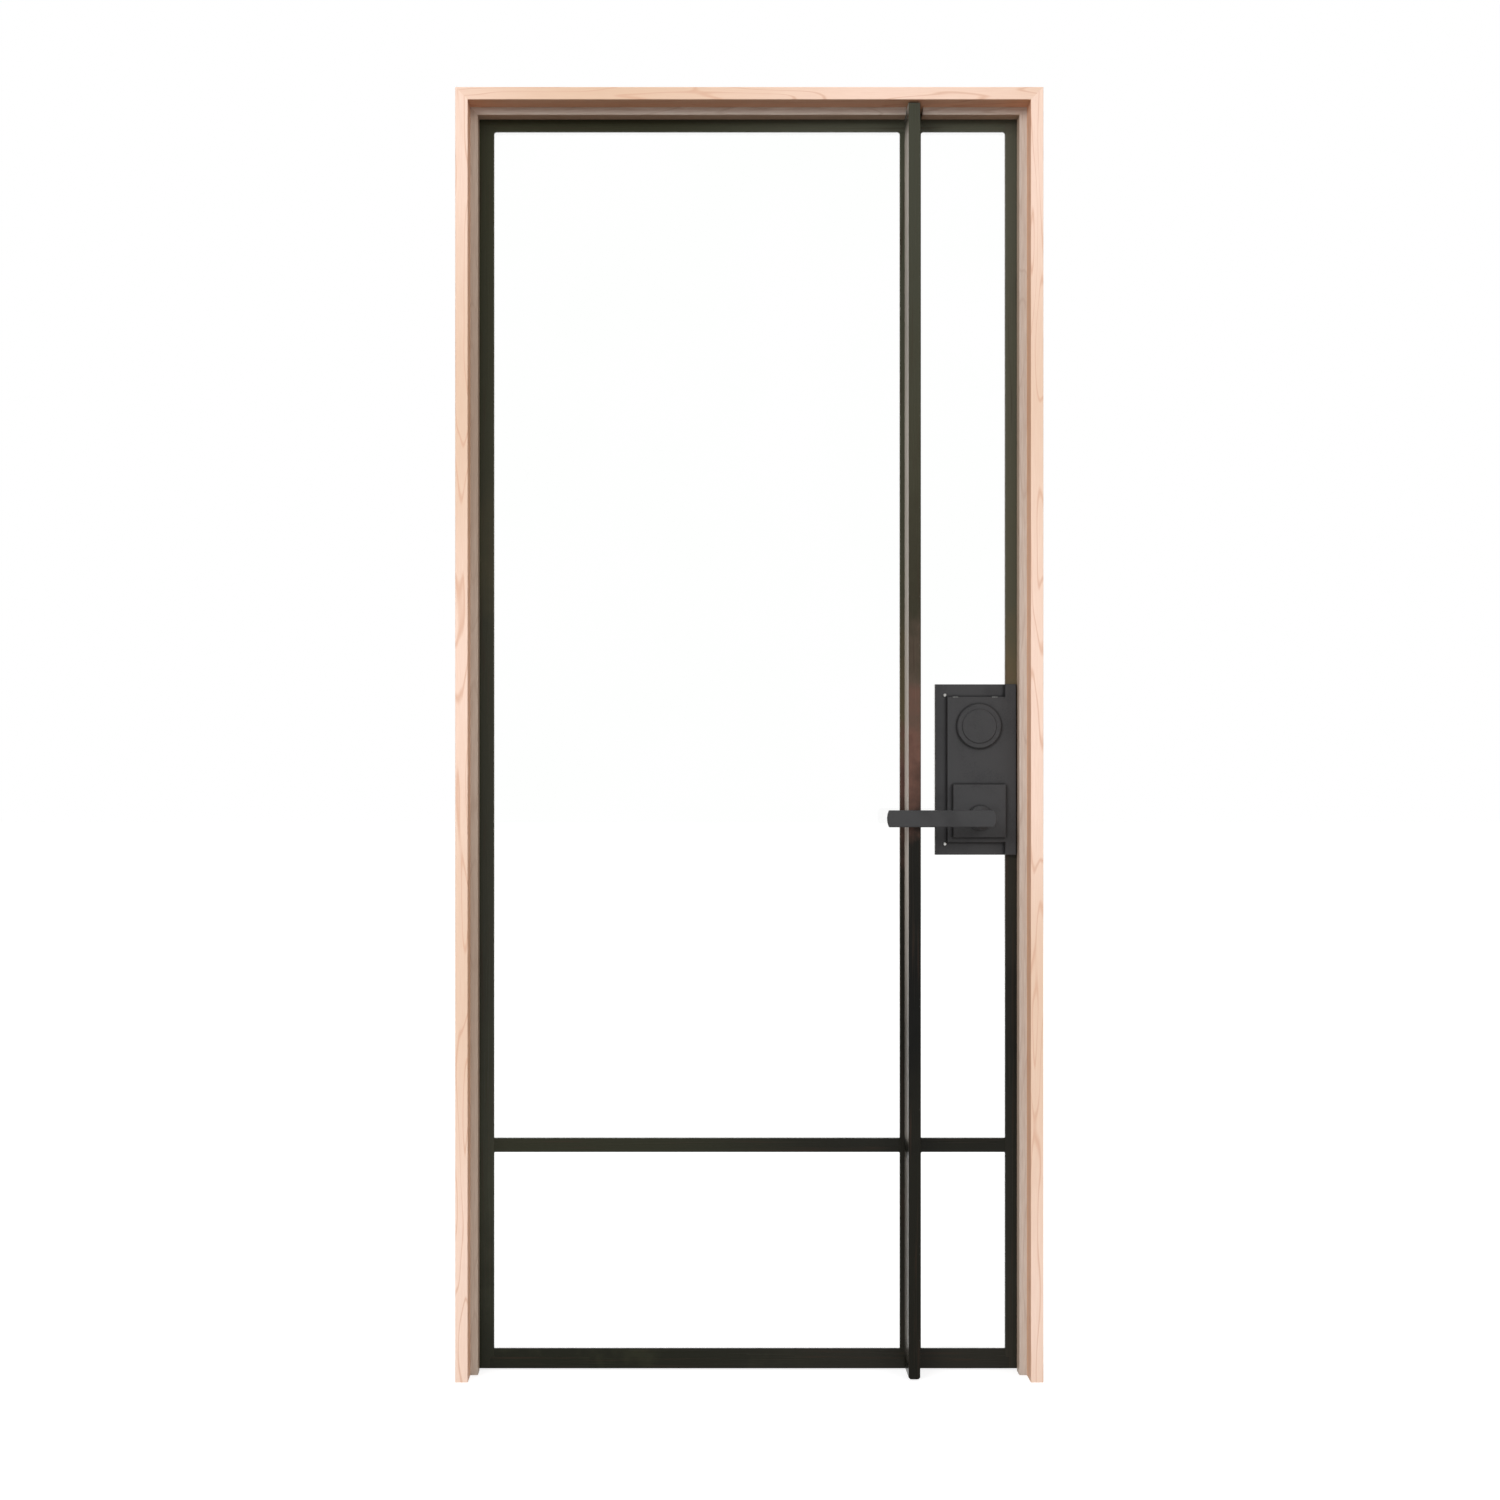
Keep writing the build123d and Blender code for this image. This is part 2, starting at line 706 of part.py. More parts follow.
def tailpiece():
    """Tailpiece with the hub that throws the deadbolt."""
    return tailpiece_blade() + rod(hub_radius, -hub_length / 2, hub_length / 2, lock_x, bolt_height)


def thumb_turn():
    """Thumb-turn: journal in the rose, round boss and an upright rounded grip."""
    boss_back = -bolt_disc_face + collar_gap
    boss_front = boss_back + turn_boss_length
    profile = [(0, -panel_face), (turn_journal_radius, -panel_face),
               (turn_journal_radius, boss_back), (turn_boss_radius, boss_back),
               (turn_boss_radius, boss_front), (0, boss_front)]
    outline = Rot(0, 0, 90) * SlotOverall(turn_grip_length, turn_grip_width)
    grip = extrude(Plane.XZ * outline, turn_grip_depth, dir=(0, 1, 0))
    grip = chamfer(grip.faces().sort_by(Axis.Y)[-1].edges(), turn_edge)
    grip = Pos(lock_x, boss_front, bolt_height) * grip
    return turned(profile, lock_x, bolt_height) + grip - tailpiece_blade()


def frame_nodes():
    """Timber frame with its strikes and the fixed halves of the hinges."""
    nodes = {}
    hinge_leg = mirror(strike_side_leg(), about=Plane.YZ)
    for name, low in hinge_places.items():
        hinge_leg -= hinge_flap(low, -open_x - hinge_plate, jamb_rear)
        nodes["frame_hinge_leaf_" + name] = hinge_half(low, 0, -open_x - hinge_plate, jamb_rear)

    pockets = [bolt_shape(open_x - overrun, open_x + jamb_thickness + overrun, height,
                          strike_hole_clearance) for height in (lever_height, bolt_height)]
    plates = {"latch_strike_plate": strike_plate_blank(lever_height) + strike_lip(),
              "deadbolt_strike_plate": strike_plate_blank(bolt_height)}
    for name, plate in plates.items():
        nodes[name] = without(plate, pockets)
    strip = strike_side_strip()
    nodes.update({
        "hinge_jamb": hinge_leg,
        "strike_jamb": without(strike_side_leg(), list(plates.values()) + pockets),
        "head_jamb": head_board(),
        "hinge_side_stop": mirror(strip, about=Plane.YZ),
        "strike_side_stop": strip,
        "head_stop": head_strip(),
        "door_seal": seal_strips(),
        "hinge_pins": group([hinge_pin(low) for low in hinge_places.values()]),
    })
    return nodes


def glazing_nodes():
    """Glass, tape, blocks and beads of the four panes."""
    outlines = glazing_outlines()
    nodes = {}
    tapes = []
    blocks = []
    for name, outline in outlines.items():
        nodes["glass_" + name] = pane(outline)
        nodes["glazing_beads_" + name] = glazing_beads(outline)
        tapes += tape_rings(outline)
        blocks += setting_blocks(outline)
    nodes["glazing_tape"] = group(tapes)
    nodes["setting_blocks"] = group(blocks)
    return nodes


def hinge_stile_nodes():
    """Hinge stile with the moving halves of the hinges let into its edge."""
    stile = mirror(stile_section(hinge_stile_chamber), about=Plane.YZ)
    nodes = {}
    for name, low in hinge_places.items():
        stile -= hinge_flap(low, -leaf_x, jamb_rear)
        nodes["door_hinge_leaf_" + name] = hinge_half(low, 1, -leaf_x, jamb_rear)
    nodes["hinge_stile"] = stile
    nodes["hinge_reinforcements"] = group([hinge_reinforcement(low)
                                           for low in hinge_places.values()])
    return nodes


def lock_nodes():
    """Lock stile, lock box, plates, roses, cases and faceplates."""
    latch_back = latch_crossbar + yoke_plate + yoke_gap
    deadbolt_back = deadbolt_crossbar + yoke_plate + deadbolt_throw + yoke_gap
    stile = stile_section(lock_stile_chamber)
    nodes = {}
    for name, height, back in (("latch", lever_height, latch_back),
                               ("deadbolt", bolt_height, deadbolt_back)):
        blank = faceplate_blank(height)
        stile = stile - blank - bar(case_radius, chamber_right - overrun, edge_x, height)
        hole = bolt_shape(edge_x - overrun, leaf_x + overrun, height, running_clearance)
        nodes[name + "_faceplate"] = blank - hole
        nodes[name + "_case"] = bolt_case(height, back)
    rose = lever_rose()
    nodes.update({
        "lock_stile": stile,
        "lock_box": lock_box(),
        "front_lock_plate": lock_plate(plate_left),
        "rear_lock_plate": rear(lock_plate(plate_left + rear_plate_inset)),
        "front_lever_rose": rose,
        "rear_lever_rose": rear(rose),
        "front_bolt_rose": bolt_ring(),
        "front_bolt_disc": bolt_disc(),
        "rear_bolt_rose": rear_bolt_ring(),
    })
    return nodes


def moving_nodes():
    """Levers, spindle and bolts."""
    return {
        "front_lever": lever(lever_length, lever_bar_height),
        "rear_lever": rear(lever(rear_lever_length, rear_lever_height)),
        "spindle": spindle(),
        "latch_bolt": latch(),
        "thumb_turn": thumb_turn(),
        "tailpiece": tailpiece(),
        "deadbolt": deadbolt(),
    }


def leaf_nodes():
    """Rails, mullion and fin of the leaf."""
    return {
        "top_rail": end_rail(chamber_top, leaf_top, chamber_top - end_lip_width, chamber_top),
        "bottom_rail": end_rail(leaf_bottom, chamber_bottom, chamber_bottom,
                                chamber_bottom + end_lip_width),
        "mid_rail_wide": tee_rail(chamber_left, web_left),
        "mid_rail_narrow": tee_rail(web_right, chamber_right),
        "mullion": tee_mullion(),
        "mullion_fin": fin(),
    }


def main():
    """Builds every node and writes each to its own file."""
    os.makedirs("parts", exist_ok=True)
    nodes = {}
    for build in (frame_nodes, leaf_nodes, glazing_nodes, hinge_stile_nodes, lock_nodes,
                  moving_nodes):
        nodes.update(build())
    for name, piece in nodes.items():
        export_step(piece, "parts/" + name + ".step")


main()
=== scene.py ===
"""Looks of a black steel framed glass door, hung in a pale timber frame."""

import logging
import math
from dataclasses import dataclass
from enum import Enum
from typing import Any, Callable, Iterable, Sequence

import bpy
from mathutils import Matrix, Vector

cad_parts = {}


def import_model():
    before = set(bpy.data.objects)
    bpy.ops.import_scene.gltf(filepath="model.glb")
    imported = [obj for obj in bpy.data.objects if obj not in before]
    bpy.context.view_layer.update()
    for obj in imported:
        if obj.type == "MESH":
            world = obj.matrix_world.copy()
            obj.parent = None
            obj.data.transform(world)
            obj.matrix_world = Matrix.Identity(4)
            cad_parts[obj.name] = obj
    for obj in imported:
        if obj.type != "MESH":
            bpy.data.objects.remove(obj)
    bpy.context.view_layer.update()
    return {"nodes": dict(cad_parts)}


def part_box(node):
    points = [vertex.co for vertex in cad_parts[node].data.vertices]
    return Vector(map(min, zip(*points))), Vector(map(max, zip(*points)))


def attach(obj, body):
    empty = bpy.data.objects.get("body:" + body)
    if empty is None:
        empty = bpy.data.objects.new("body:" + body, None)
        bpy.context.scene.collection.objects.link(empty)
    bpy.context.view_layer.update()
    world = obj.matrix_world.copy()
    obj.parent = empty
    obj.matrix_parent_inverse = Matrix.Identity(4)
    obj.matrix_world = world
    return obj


LOG = logging.getLogger("door")
MM = 0.001
# Cosine above which a face looks squarely one way.
SQUARE_ON = 0.99


class Grain(Enum):
    """The axis along which a board's grain or a bar's streaks run."""

    UPRIGHT = "Z"
    LEVEL = "X"


class Facing(Enum):
    """Direction in which a fastener's head points."""

    LEFT = (-1.0, 0.0, 0.0)
    RIGHT = (1.0, 0.0, 0.0)
    FRONT = (0.0, -1.0, 0.0)
    REAR = (0.0, 1.0, 0.0)
    UP = (0.0, 0.0, 1.0)
    DOWN = (0.0, 0.0, -1.0)


def linear(code: str) -> tuple[float, float, float, float]:
    """Turns an sRGB hex colour into linear light.

    Args:
        code: Six hex digits after a hash.

    Returns:
        Red, green, blue and an alpha of one.
    """
    shares = [int(code[i:i + 2], 16) / 255 for i in (1, 3, 5)]
    red, green, blue = [s / 12.92 if s <= 0.04045 else ((s + 0.055) / 1.055) ** 2.4 for s in shares]
    return red, green, blue, 1.0


def along(grain: Grain, width: float, length: float) -> tuple[float, float, float]:
    """Pattern scale for a width across and a length along the grain.

    Args:
        grain: The way the grain runs.
        width: Size of the pattern across it.
        length: Size of the pattern along it.

    Returns:
        The scale on the three axes.
    """
    if grain is Grain.UPRIGHT:
        return 1 / width, 1 / width, 1 / length
    return 1 / length, 1 / width, 1 / width


def add(tree: bpy.types.NodeTree, kind: str, inputs: dict[Any, Any] | None = None,
        stops: Sequence[tuple[float, str]] = (), **settings: Any) -> bpy.types.Node:
    """Adds a node, makes its settings and links or fills its inputs.

    Args:
        tree: The material's or the world's node tree.
        kind: Blender's name for the node.
        inputs: Input name or number, with the socket to link or the value to set.
        stops: Places and hex colours of a colour ramp.
        settings: The node's own properties.

    Returns:
        The new node.
    """
    node = tree.nodes.new(kind)
    for name, value in settings.items():
        setattr(node, name, value)
    for key, value in (inputs or {}).items():
        if isinstance(value, bpy.types.NodeSocket):
            tree.links.new(value, node.inputs[key])
        else:
            node.inputs[key].default_value = value
    for number, (place, code) in enumerate(stops):
        elements = node.color_ramp.elements
        stop = elements[number] if number < 2 else elements.new(place)
        stop.position = place
        stop.color = linear(code)
    return node


def drawn(tree: bpy.types.NodeTree, place: bpy.types.NodeSocket, size: Sequence[float],
          detail: float, roughness: float = 0.5, scale: float = 1.0) -> bpy.types.NodeSocket:
    """Makes noise whose spots are drawn out along the grain.

    Args:
        tree: The material's node tree.
        place: The object's own coordinates.
        size: Pattern scale on the three axes.
        detail: Number of finer layers.
        roughness: Strength of the finer layers.
        scale: Scale of the noise within that pattern.

    Returns:
        The noise, from nought to one.
    """
    mapped = add(tree, "ShaderNodeMapping", {"Vector": place, "Scale": size})
    return add(tree, "ShaderNodeTexNoise", {
        "Vector": mapped.outputs["Vector"], "Scale": scale, "Detail": detail,
        "Roughness": roughness}).outputs["Fac"]


@dataclass(frozen=True)
class Finish:
    """A surface finish that makes its own material."""

    label: str

    def surface(self, tree: bpy.types.NodeTree) -> bpy.types.NodeSocket:
        """Builds the finish's nodes and returns its shader."""
        raise NotImplementedError

    def material(self) -> bpy.types.Material:
        """Makes the material.

        Returns:
            The material, named for what it is made of and how.
        """
        made = bpy.data.materials.new(self.label)
        made.use_nodes = True
        made.node_tree.nodes.clear()
        add(made.node_tree, "ShaderNodeOutputMaterial", {"Surface": self.surface(made.node_tree)})
        return made


@dataclass(frozen=True)
class LacqueredTimber(Finish):
    """Planed hardwood under a thin satin lacquer.

    The eye sees pale early wood, thin darker growth lines that run in long arches,
    short fine fibres along the grain and a soft, even gloss. The colour drifts slowly from
    pale sapwood to tan heartwood and back along the board. Faces that don't look to the
    front or back are tinted warmer and darker, which is painted shade.
    """

    pale: str
    warm: str
    line: str
    # Tint multiplied onto the side faces: painted shade.
    side_shade: str
    grain: Grain
    arch_width: float = 20 * MM
    arch_length: float = 190 * MM
    rings: float = 9.0
    ring_line: float = 0.10
    fibre_width: float = 1.6 * MM
    fibre_length: float = 45 * MM
    fibre_strength: float = 0.22
    patch_width: float = 150 * MM
    patch_length: float = 600 * MM
    pale_at: float = 1110 * MM
    drift_length: float = 960 * MM
    drift: float = 0.16
    line_strength: float = 0.62
    roughness: float = 0.46
    pore_depth: float = 0.2 * MM

    def tone(self, tree: bpy.types.NodeTree, place: bpy.types.NodeSocket,
             patch: bpy.types.NodeSocket) -> bpy.types.NodeSocket:
        """Builds the slow drift from sapwood to heartwood along the board.

        Args:
            tree: The material's node tree.
            place: The object's own coordinates.
            patch: The patch pattern, from nought to one.

        Returns:
            The tone's socket, low where the wood is pale.
        """
        mild = add(tree, "ShaderNodeMapRange", {"Value": patch, "To Min": 0.22, "To Max": 0.72})
        axes = add(tree, "ShaderNodeSeparateXYZ", {0: place})
        turn = 2 * math.pi / self.drift_length
        angle = add(tree, "ShaderNodeMath", {
            0: axes.outputs[self.grain.value], 1: turn, 2: -self.pale_at * turn},
            operation="MULTIPLY_ADD")
        swing = add(tree, "ShaderNodeMath", {0: angle.outputs[0]}, operation="COSINE")
        return add(tree, "ShaderNodeMath", {
            0: swing.outputs[0], 1: -self.drift, 2: mild.outputs["Result"]},
            operation="MULTIPLY_ADD").outputs[0]

    def surface(self, tree: bpy.types.NodeTree) -> bpy.types.NodeSocket:
        """Builds growth lines, fibres and patches.

        Args:
            tree: The material's node tree.

        Returns:
            The shader's socket.
        """
        coordinates = add(tree, "ShaderNodeTexCoord")
        place = coordinates.outputs["Object"]
        height = drawn(tree, place, along(self.grain, self.arch_width, self.arch_length),
                       detail=1.5, roughness=0.4, scale=0.5)
        rings = add(tree, "ShaderNodeMath", {0: height, 1: self.rings}, operation="MULTIPLY")
        ring = add(tree, "ShaderNodeMath", {0: rings.outputs[0], 1: 0.5}, operation="PINGPONG")
        late = add(tree, "ShaderNodeMapRange", {
            "Value": ring.outputs[0], "From Min": 0.0, "From Max": self.ring_line,
            "To Min": self.line_strength, "To Max": 0.0}, interpolation_type="SMOOTHSTEP")
        fibre = drawn(tree, place, along(self.grain, self.fibre_width, self.fibre_length),
                      detail=3.0, roughness=0.6)
        patch = drawn(tree, place, along(self.grain, self.patch_width, self.patch_length), detail=2.0)
        ground = add(tree, "ShaderNodeValToRGB", {"Fac": self.tone(tree, place, patch)},
                     stops=((0.34, self.pale), (0.66, self.warm)))
        lined = add(tree, "ShaderNodeMix", {
            0: late.outputs["Result"], 6: ground.outputs["Color"], 7: linear(self.line)},
            data_type="RGBA")
        shade = add(tree, "ShaderNodeMapRange", {
            "Value": fibre, "From Min": 0.3, "From Max": 0.7,
            "To Min": 0.0, "To Max": self.fibre_strength})
        fibred = add(tree, "ShaderNodeMix", {
            0: shade.outputs["Result"], 6: lined.outputs[2], 7: linear(self.line)},
            data_type="RGBA")
        # Faces that look sideways, up or down take the warmer, darker tint: painted shade.
        lean = add(tree, "ShaderNodeSeparateXYZ", {0: coordinates.outputs["Normal"]})
        edge = add(tree, "ShaderNodeMath", {0: lean.outputs["Y"]}, operation="ABSOLUTE")
        flat = add(tree, "ShaderNodeMath", {0: 1.0, 1: edge.outputs[0]}, operation="SUBTRACT")
        colour = add(tree, "ShaderNodeMix", {
            0: flat.outputs[0], 6: fibred.outputs[2], 7: linear(self.side_shade)},
            data_type="RGBA", blend_type="MULTIPLY")
        gloss = add(tree, "ShaderNodeMapRange", {
            "Value": fibre, "From Min": 0.25, "From Max": 0.75,
            "To Min": self.roughness - 0.05, "To Max": self.roughness + 0.07})
        pores = add(tree, "ShaderNodeBump", {
            "Strength": 0.18, "Distance": self.pore_depth, "Height": fibre})
        return add(tree, "ShaderNodeBsdfPrincipled", {
            "Base Color": colour.outputs[2], "Roughness": gloss.outputs["Result"],
            "IOR": 1.5, "Specular IOR Level": 0.35, "Normal": pores.outputs["Normal"]}).outputs[0]


@dataclass(frozen=True)
class WaxedBlackSteel(Finish):
    """Hot-rolled steel, blackened in a bath and waxed.

    The eye sees near black at the foot, a rust-brown flush at lock height and olive above,
    deeper on the hinge side, with clouds and streaks that run along the bar, a satin gloss
    and edges rubbed a little lighter. A sheen on faces seen edge-on is a painted reflection
    of the bright glass, off in front of the rails, with a painted highlight along the top.
    """

    # Colours by share of the leaf's height, and the sheen's strength by the same shares: a painted
    # reflection of the bright glass, off in front of the rails, with a painted highlight along the top.
    lock_side: tuple[tuple[float, str], ...] = (
        (0.03, "#24231d"), (0.27, "#15150f"), (0.40, "#1c1b14"), (0.48, "#60463e"),
        (0.54, "#574e3a"), (0.63, "#434336"), (0.95, "#47493c"))
    hinge_side: tuple[tuple[float, str], ...] = (
        (0.015, "#1c1d14"), (0.05, "#2a2b1e"), (0.30, "#29291e"), (0.55, "#37372d"), (0.95, "#363727"))
    reflection_by_height: tuple[tuple[float, str], ...] = (
        (0.012, "#000000"), (0.030, "#868686"), (0.170, "#8e8e8e"), (0.174, "#000000"),
        (0.183, "#000000"), (0.187, "#a8a8a8"), (0.27, "#909090"), (0.33, "#d4d4d4"),
        (0.40, "#ffffff"), (0.56, "#ffffff"), (0.74, "#ffffff"), (0.83, "#e0e0e0"),
        (0.94, "#ffffff"), (0.974, "#f0f0f0"), (0.986, "#000000"), (0.991, "#000000"),
        (0.9945, "#ffffff"))
    grain: Grain = Grain.UPRIGHT
    brown: str = "#33251d"
    rubbed: str = "#4b473c"
    # Tint of the painted reflection.
    reflection_tint: str = "#fff6ea"
    height: float = 2100 * MM
    reach: float = 200 * MM
    drift: float = 0.05
    cloud: float = 70 * MM
    streak_width: float = 5 * MM
    streak_length: float = 160 * MM
    skin_depth: float = 0.12 * MM
    edge: float = 0.9 * MM

    def bath(self, tree: bpy.types.NodeTree, place: bpy.types.NodeSocket,
             clouds: bpy.types.NodeSocket) -> bpy.types.NodeSocket:
        """Builds the slow change of colour up and across the leaf.

        Args:
            tree: The material's node tree.
            place: The object's own coordinates.
            clouds: The cloud pattern, from nought to one.

        Returns:
            The colour's socket.
        """
        axes = add(tree, "ShaderNodeSeparateXYZ", {0: place})
        shift = add(tree, "ShaderNodeMapRange", {
            "Value": clouds, "To Min": -self.drift * 2, "To Max": self.drift * 2})
        share = add(tree, "ShaderNodeMath", {
            0: axes.outputs["Z"], 1: 1 / self.height, 2: shift.outputs["Result"]},
            operation="MULTIPLY_ADD")
        lock = add(tree, "ShaderNodeValToRGB", {"Fac": share.outputs[0]}, stops=self.lock_side)
        hinge = add(tree, "ShaderNodeValToRGB", {"Fac": share.outputs[0]}, stops=self.hinge_side)
        side = add(tree, "ShaderNodeMapRange", {
            "Value": axes.outputs["X"], "From Min": -self.reach, "From Max": self.reach},
            interpolation_type="SMOOTHSTEP")
        return add(tree, "ShaderNodeMix", {
            0: side.outputs["Result"], 6: hinge.outputs["Color"], 7: lock.outputs["Color"]},
            data_type="RGBA").outputs[2]

    def painted_reflection(self, tree: bpy.types.NodeTree, place: bpy.types.NodeSocket) -> bpy.types.NodeSocket:
        """Builds the sheen's strength by height: a painted reflection of the bright glass,
        off in front of the rails, and a painted highlight along the top.

        Args:
            tree: The material's node tree.
            place: The object's own coordinates.

        Returns:
            The painted reflection's strength.
        """
        axes = add(tree, "ShaderNodeSeparateXYZ", {0: place})
        share = add(tree, "ShaderNodeMath", {
            0: axes.outputs["Z"], 1: 1 / self.height}, operation="MULTIPLY")
        return add(tree, "ShaderNodeValToRGB", {"Fac": share.outputs[0]},
                   stops=self.reflection_by_height).outputs["Color"]

    def surface(self, tree: bpy.types.NodeTree) -> bpy.types.NodeSocket:
        """Builds clouds, streaks and rubbed edges over the bath's colours.

        Args:
            tree: The material's node tree.

        Returns:
            The shader's socket.
        """
        place = add(tree, "ShaderNodeTexCoord").outputs["Object"]
        clouds = add(tree, "ShaderNodeTexNoise", {
            "Vector": place, "Scale": 1 / self.cloud, "Detail": 4.0, "Roughness": 0.55})
        streaks = drawn(tree, place, along(self.grain, self.streak_width, self.streak_length),
                        detail=3.0)
        rust = add(tree, "ShaderNodeMapRange", {
            "Value": streaks, "From Min": 0.54, "From Max": 0.78,
            "To Min": 0.0, "To Max": 0.5}, interpolation_type="SMOOTHSTEP")
        mottled = add(tree, "ShaderNodeMix", {
            0: rust.outputs["Result"], 6: self.bath(tree, place, clouds.outputs["Fac"]),
            7: linear(self.brown)}, data_type="RGBA")
        true = add(tree, "ShaderNodeNewGeometry").outputs["True Normal"]
        rounded = add(tree, "ShaderNodeBevel", {"Radius": self.edge}, samples=4).outputs["Normal"]
        lean = add(tree, "ShaderNodeVectorMath", {0: true, 1: rounded}, operation="DOT_PRODUCT")
        worn = add(tree, "ShaderNodeMapRange", {
            "Value": lean.outputs["Value"], "From Min": 0.99, "From Max": 0.80,
            "To Min": 0.0, "To Max": 0.35})
        colour = add(tree, "ShaderNodeMix", {
            0: worn.outputs["Result"], 6: mottled.outputs[2], 7: linear(self.rubbed)},
            data_type="RGBA")
        gloss = add(tree, "ShaderNodeMapRange", {
            "Value": streaks, "From Min": 0.3, "From Max": 0.7,
            "To Min": 0.20, "To Max": 0.32})
        skin = add(tree, "ShaderNodeBump", {
            "Strength": 0.10, "Distance": self.skin_depth, "Height": clouds.outputs["Fac"],
            "Normal": rounded})
        # The sheen's strength by height is a painted reflection.
        return add(tree, "ShaderNodeBsdfPrincipled", {
            "Base Color": colour.outputs[2], "Roughness": gloss.outputs["Result"],
            "Specular IOR Level": 0.10, "Sheen Weight": self.painted_reflection(tree, place),
            "Sheen Roughness": 0.35, "Sheen Tint": linear(self.reflection_tint),
            "Normal": skin.outputs["Normal"]}).outputs[0]


@dataclass(frozen=True)
class MattPaint(Finish):
    """Dead-flat black paint, brushed on the inside of the glazing rebates.

    The eye sees a dark matt film with faint brush marks along the bar.
    """

    deep: str = "#080807"
    light: str = "#11110e"
    mark: float = 1.5 * MM
    length: float = 60 * MM
    film_depth: float = 0.05 * MM

    def surface(self, tree: bpy.types.NodeTree) -> bpy.types.NodeSocket:
        """Builds the brush marks.

        Args:
            tree: The material's node tree.

        Returns:
            The shader's socket.
        """
        place = add(tree, "ShaderNodeTexCoord").outputs["Object"]
        marks = drawn(tree, place, along(Grain.UPRIGHT, self.mark, self.length), detail=2.0)
        colour = add(tree, "ShaderNodeValToRGB", {"Fac": marks},
                     stops=((0.3, self.deep), (0.7, self.light)))
        film = add(tree, "ShaderNodeBump", {
            "Strength": 0.15, "Distance": self.film_depth, "Height": marks})
        return add(tree, "ShaderNodeBsdfPrincipled", {
            "Base Color": colour.outputs["Color"], "Roughness": 0.85,
            "Specular IOR Level": 0.05, "Normal": film.outputs["Normal"]}).outputs[0]


@dataclass(frozen=True)
class PowderCoat(Finish):
    """Fine-textured polyester powder, baked on die-cast zinc.

    The eye sees an even charcoal grey with a faint orange-peel sparkle and low gloss, and
    darker lines in the creases and corners, which are painted shade. The grit is drawn
    about three times as coarse as it is, so that it shows.
    """

    deep: str = "#303031"
    light: str = "#3c3c3d"
    # Colour of the painted shade in the creases.
    crease_shade: str = "#0c0c0c"
    crease: float = 7 * MM
    grit: float = 1.2 * MM
    cloud: float = 45 * MM
    peel_depth: float = 0.1 * MM
    edge: float = 0.7 * MM

    def surface(self, tree: bpy.types.NodeTree) -> bpy.types.NodeSocket:
        """Builds the grit, the soft clouds and the dust of the coating.

        Args:
            tree: The material's node tree.

        Returns:
            The shader's socket.
        """
        place = add(tree, "ShaderNodeTexCoord").outputs["Object"]
        grit = add(tree, "ShaderNodeTexNoise", {
            "Vector": place, "Scale": 1 / self.grit, "Detail": 2.0})
        clouds = add(tree, "ShaderNodeTexNoise", {
            "Vector": place, "Scale": 1 / self.cloud, "Detail": 2.0})
        both = add(tree, "ShaderNodeMath", {
            0: clouds.outputs["Fac"], 1: grit.outputs["Fac"]}, operation="ADD")
        colour = add(tree, "ShaderNodeValToRGB", {"Fac": both.outputs[0]},
                     stops=((0.7, self.deep), (1.0, self.light)))
        # Ambient occlusion darkens creases and corners towards the shade colour: painted shade.
        open_air = add(tree, "ShaderNodeAmbientOcclusion", {"Distance": self.crease}, samples=8)
        crease_darkening = add(tree, "ShaderNodeMapRange", {
            "Value": open_air.outputs["AO"], "From Min": 0.45, "From Max": 0.92,
            "To Min": 0.85, "To Max": 0.0}, interpolation_type="SMOOTHSTEP")
        crease_shaded = add(tree, "ShaderNodeMix", {
            0: crease_darkening.outputs["Result"], 6: colour.outputs["Color"], 7: linear(self.crease_shade)},
            data_type="RGBA")
        gloss = add(tree, "ShaderNodeMapRange", {
            "Value": grit.outputs["Fac"], "From Min": 0.3, "From Max": 0.7,
            "To Min": 0.44, "To Max": 0.56})
        rounded = add(tree, "ShaderNodeBevel", {"Radius": self.edge}, samples=4)
        peel = add(tree, "ShaderNodeBump", {
            "Strength": 0.2, "Distance": self.peel_depth, "Height": grit.outputs["Fac"],
            "Normal": rounded.outputs["Normal"]})
        return add(tree, "ShaderNodeBsdfPrincipled", {
            "Base Color": crease_shaded.outputs[2], "Roughness": gloss.outputs["Result"],
            "Specular IOR Level": 0.22, "Normal": peel.outputs["Normal"]}).outputs[0]


@dataclass(frozen=True)
class FloatGlass(Finish):
    """Clear float glass, drawn flat on molten tin.

    The eye sees what lies behind it, a hint of green in the thickness, and reflections
    that swim very slightly from the drawing of the sheet.
    """

    clear: str = "#ffffff"
    tinted: str = "#fefffe"
    wave: float = 240 * MM
    wave_depth: float = 0.2 * MM

    def surface(self, tree: bpy.types.NodeTree) -> bpy.types.NodeSocket:
        """Builds the slow waves of drawn glass.

        Args:
            tree: The material's node tree.

        Returns:
            The shader's socket.
        """
        place = add(tree, "ShaderNodeTexCoord").outputs["Object"]
        waves = add(tree, "ShaderNodeTexNoise", {
            "Vector": place, "Scale": 1 / self.wave, "Detail": 1.0})
        colour = add(tree, "ShaderNodeValToRGB", {"Fac": waves.outputs["Fac"]},
                     stops=((0.3, self.clear), (0.7, self.tinted)))
        swim = add(tree, "ShaderNodeBump", {
            "Strength": 0.01, "Distance": self.wave_depth, "Height": waves.outputs["Fac"]})
        return add(tree, "ShaderNodeBsdfPrincipled", {
            "Base Color": colour.outputs["Color"], "Roughness": 0.0, "IOR": 1.5,
            "Transmission Weight": 1.0, "Normal": swim.outputs["Normal"]}).outputs[0]


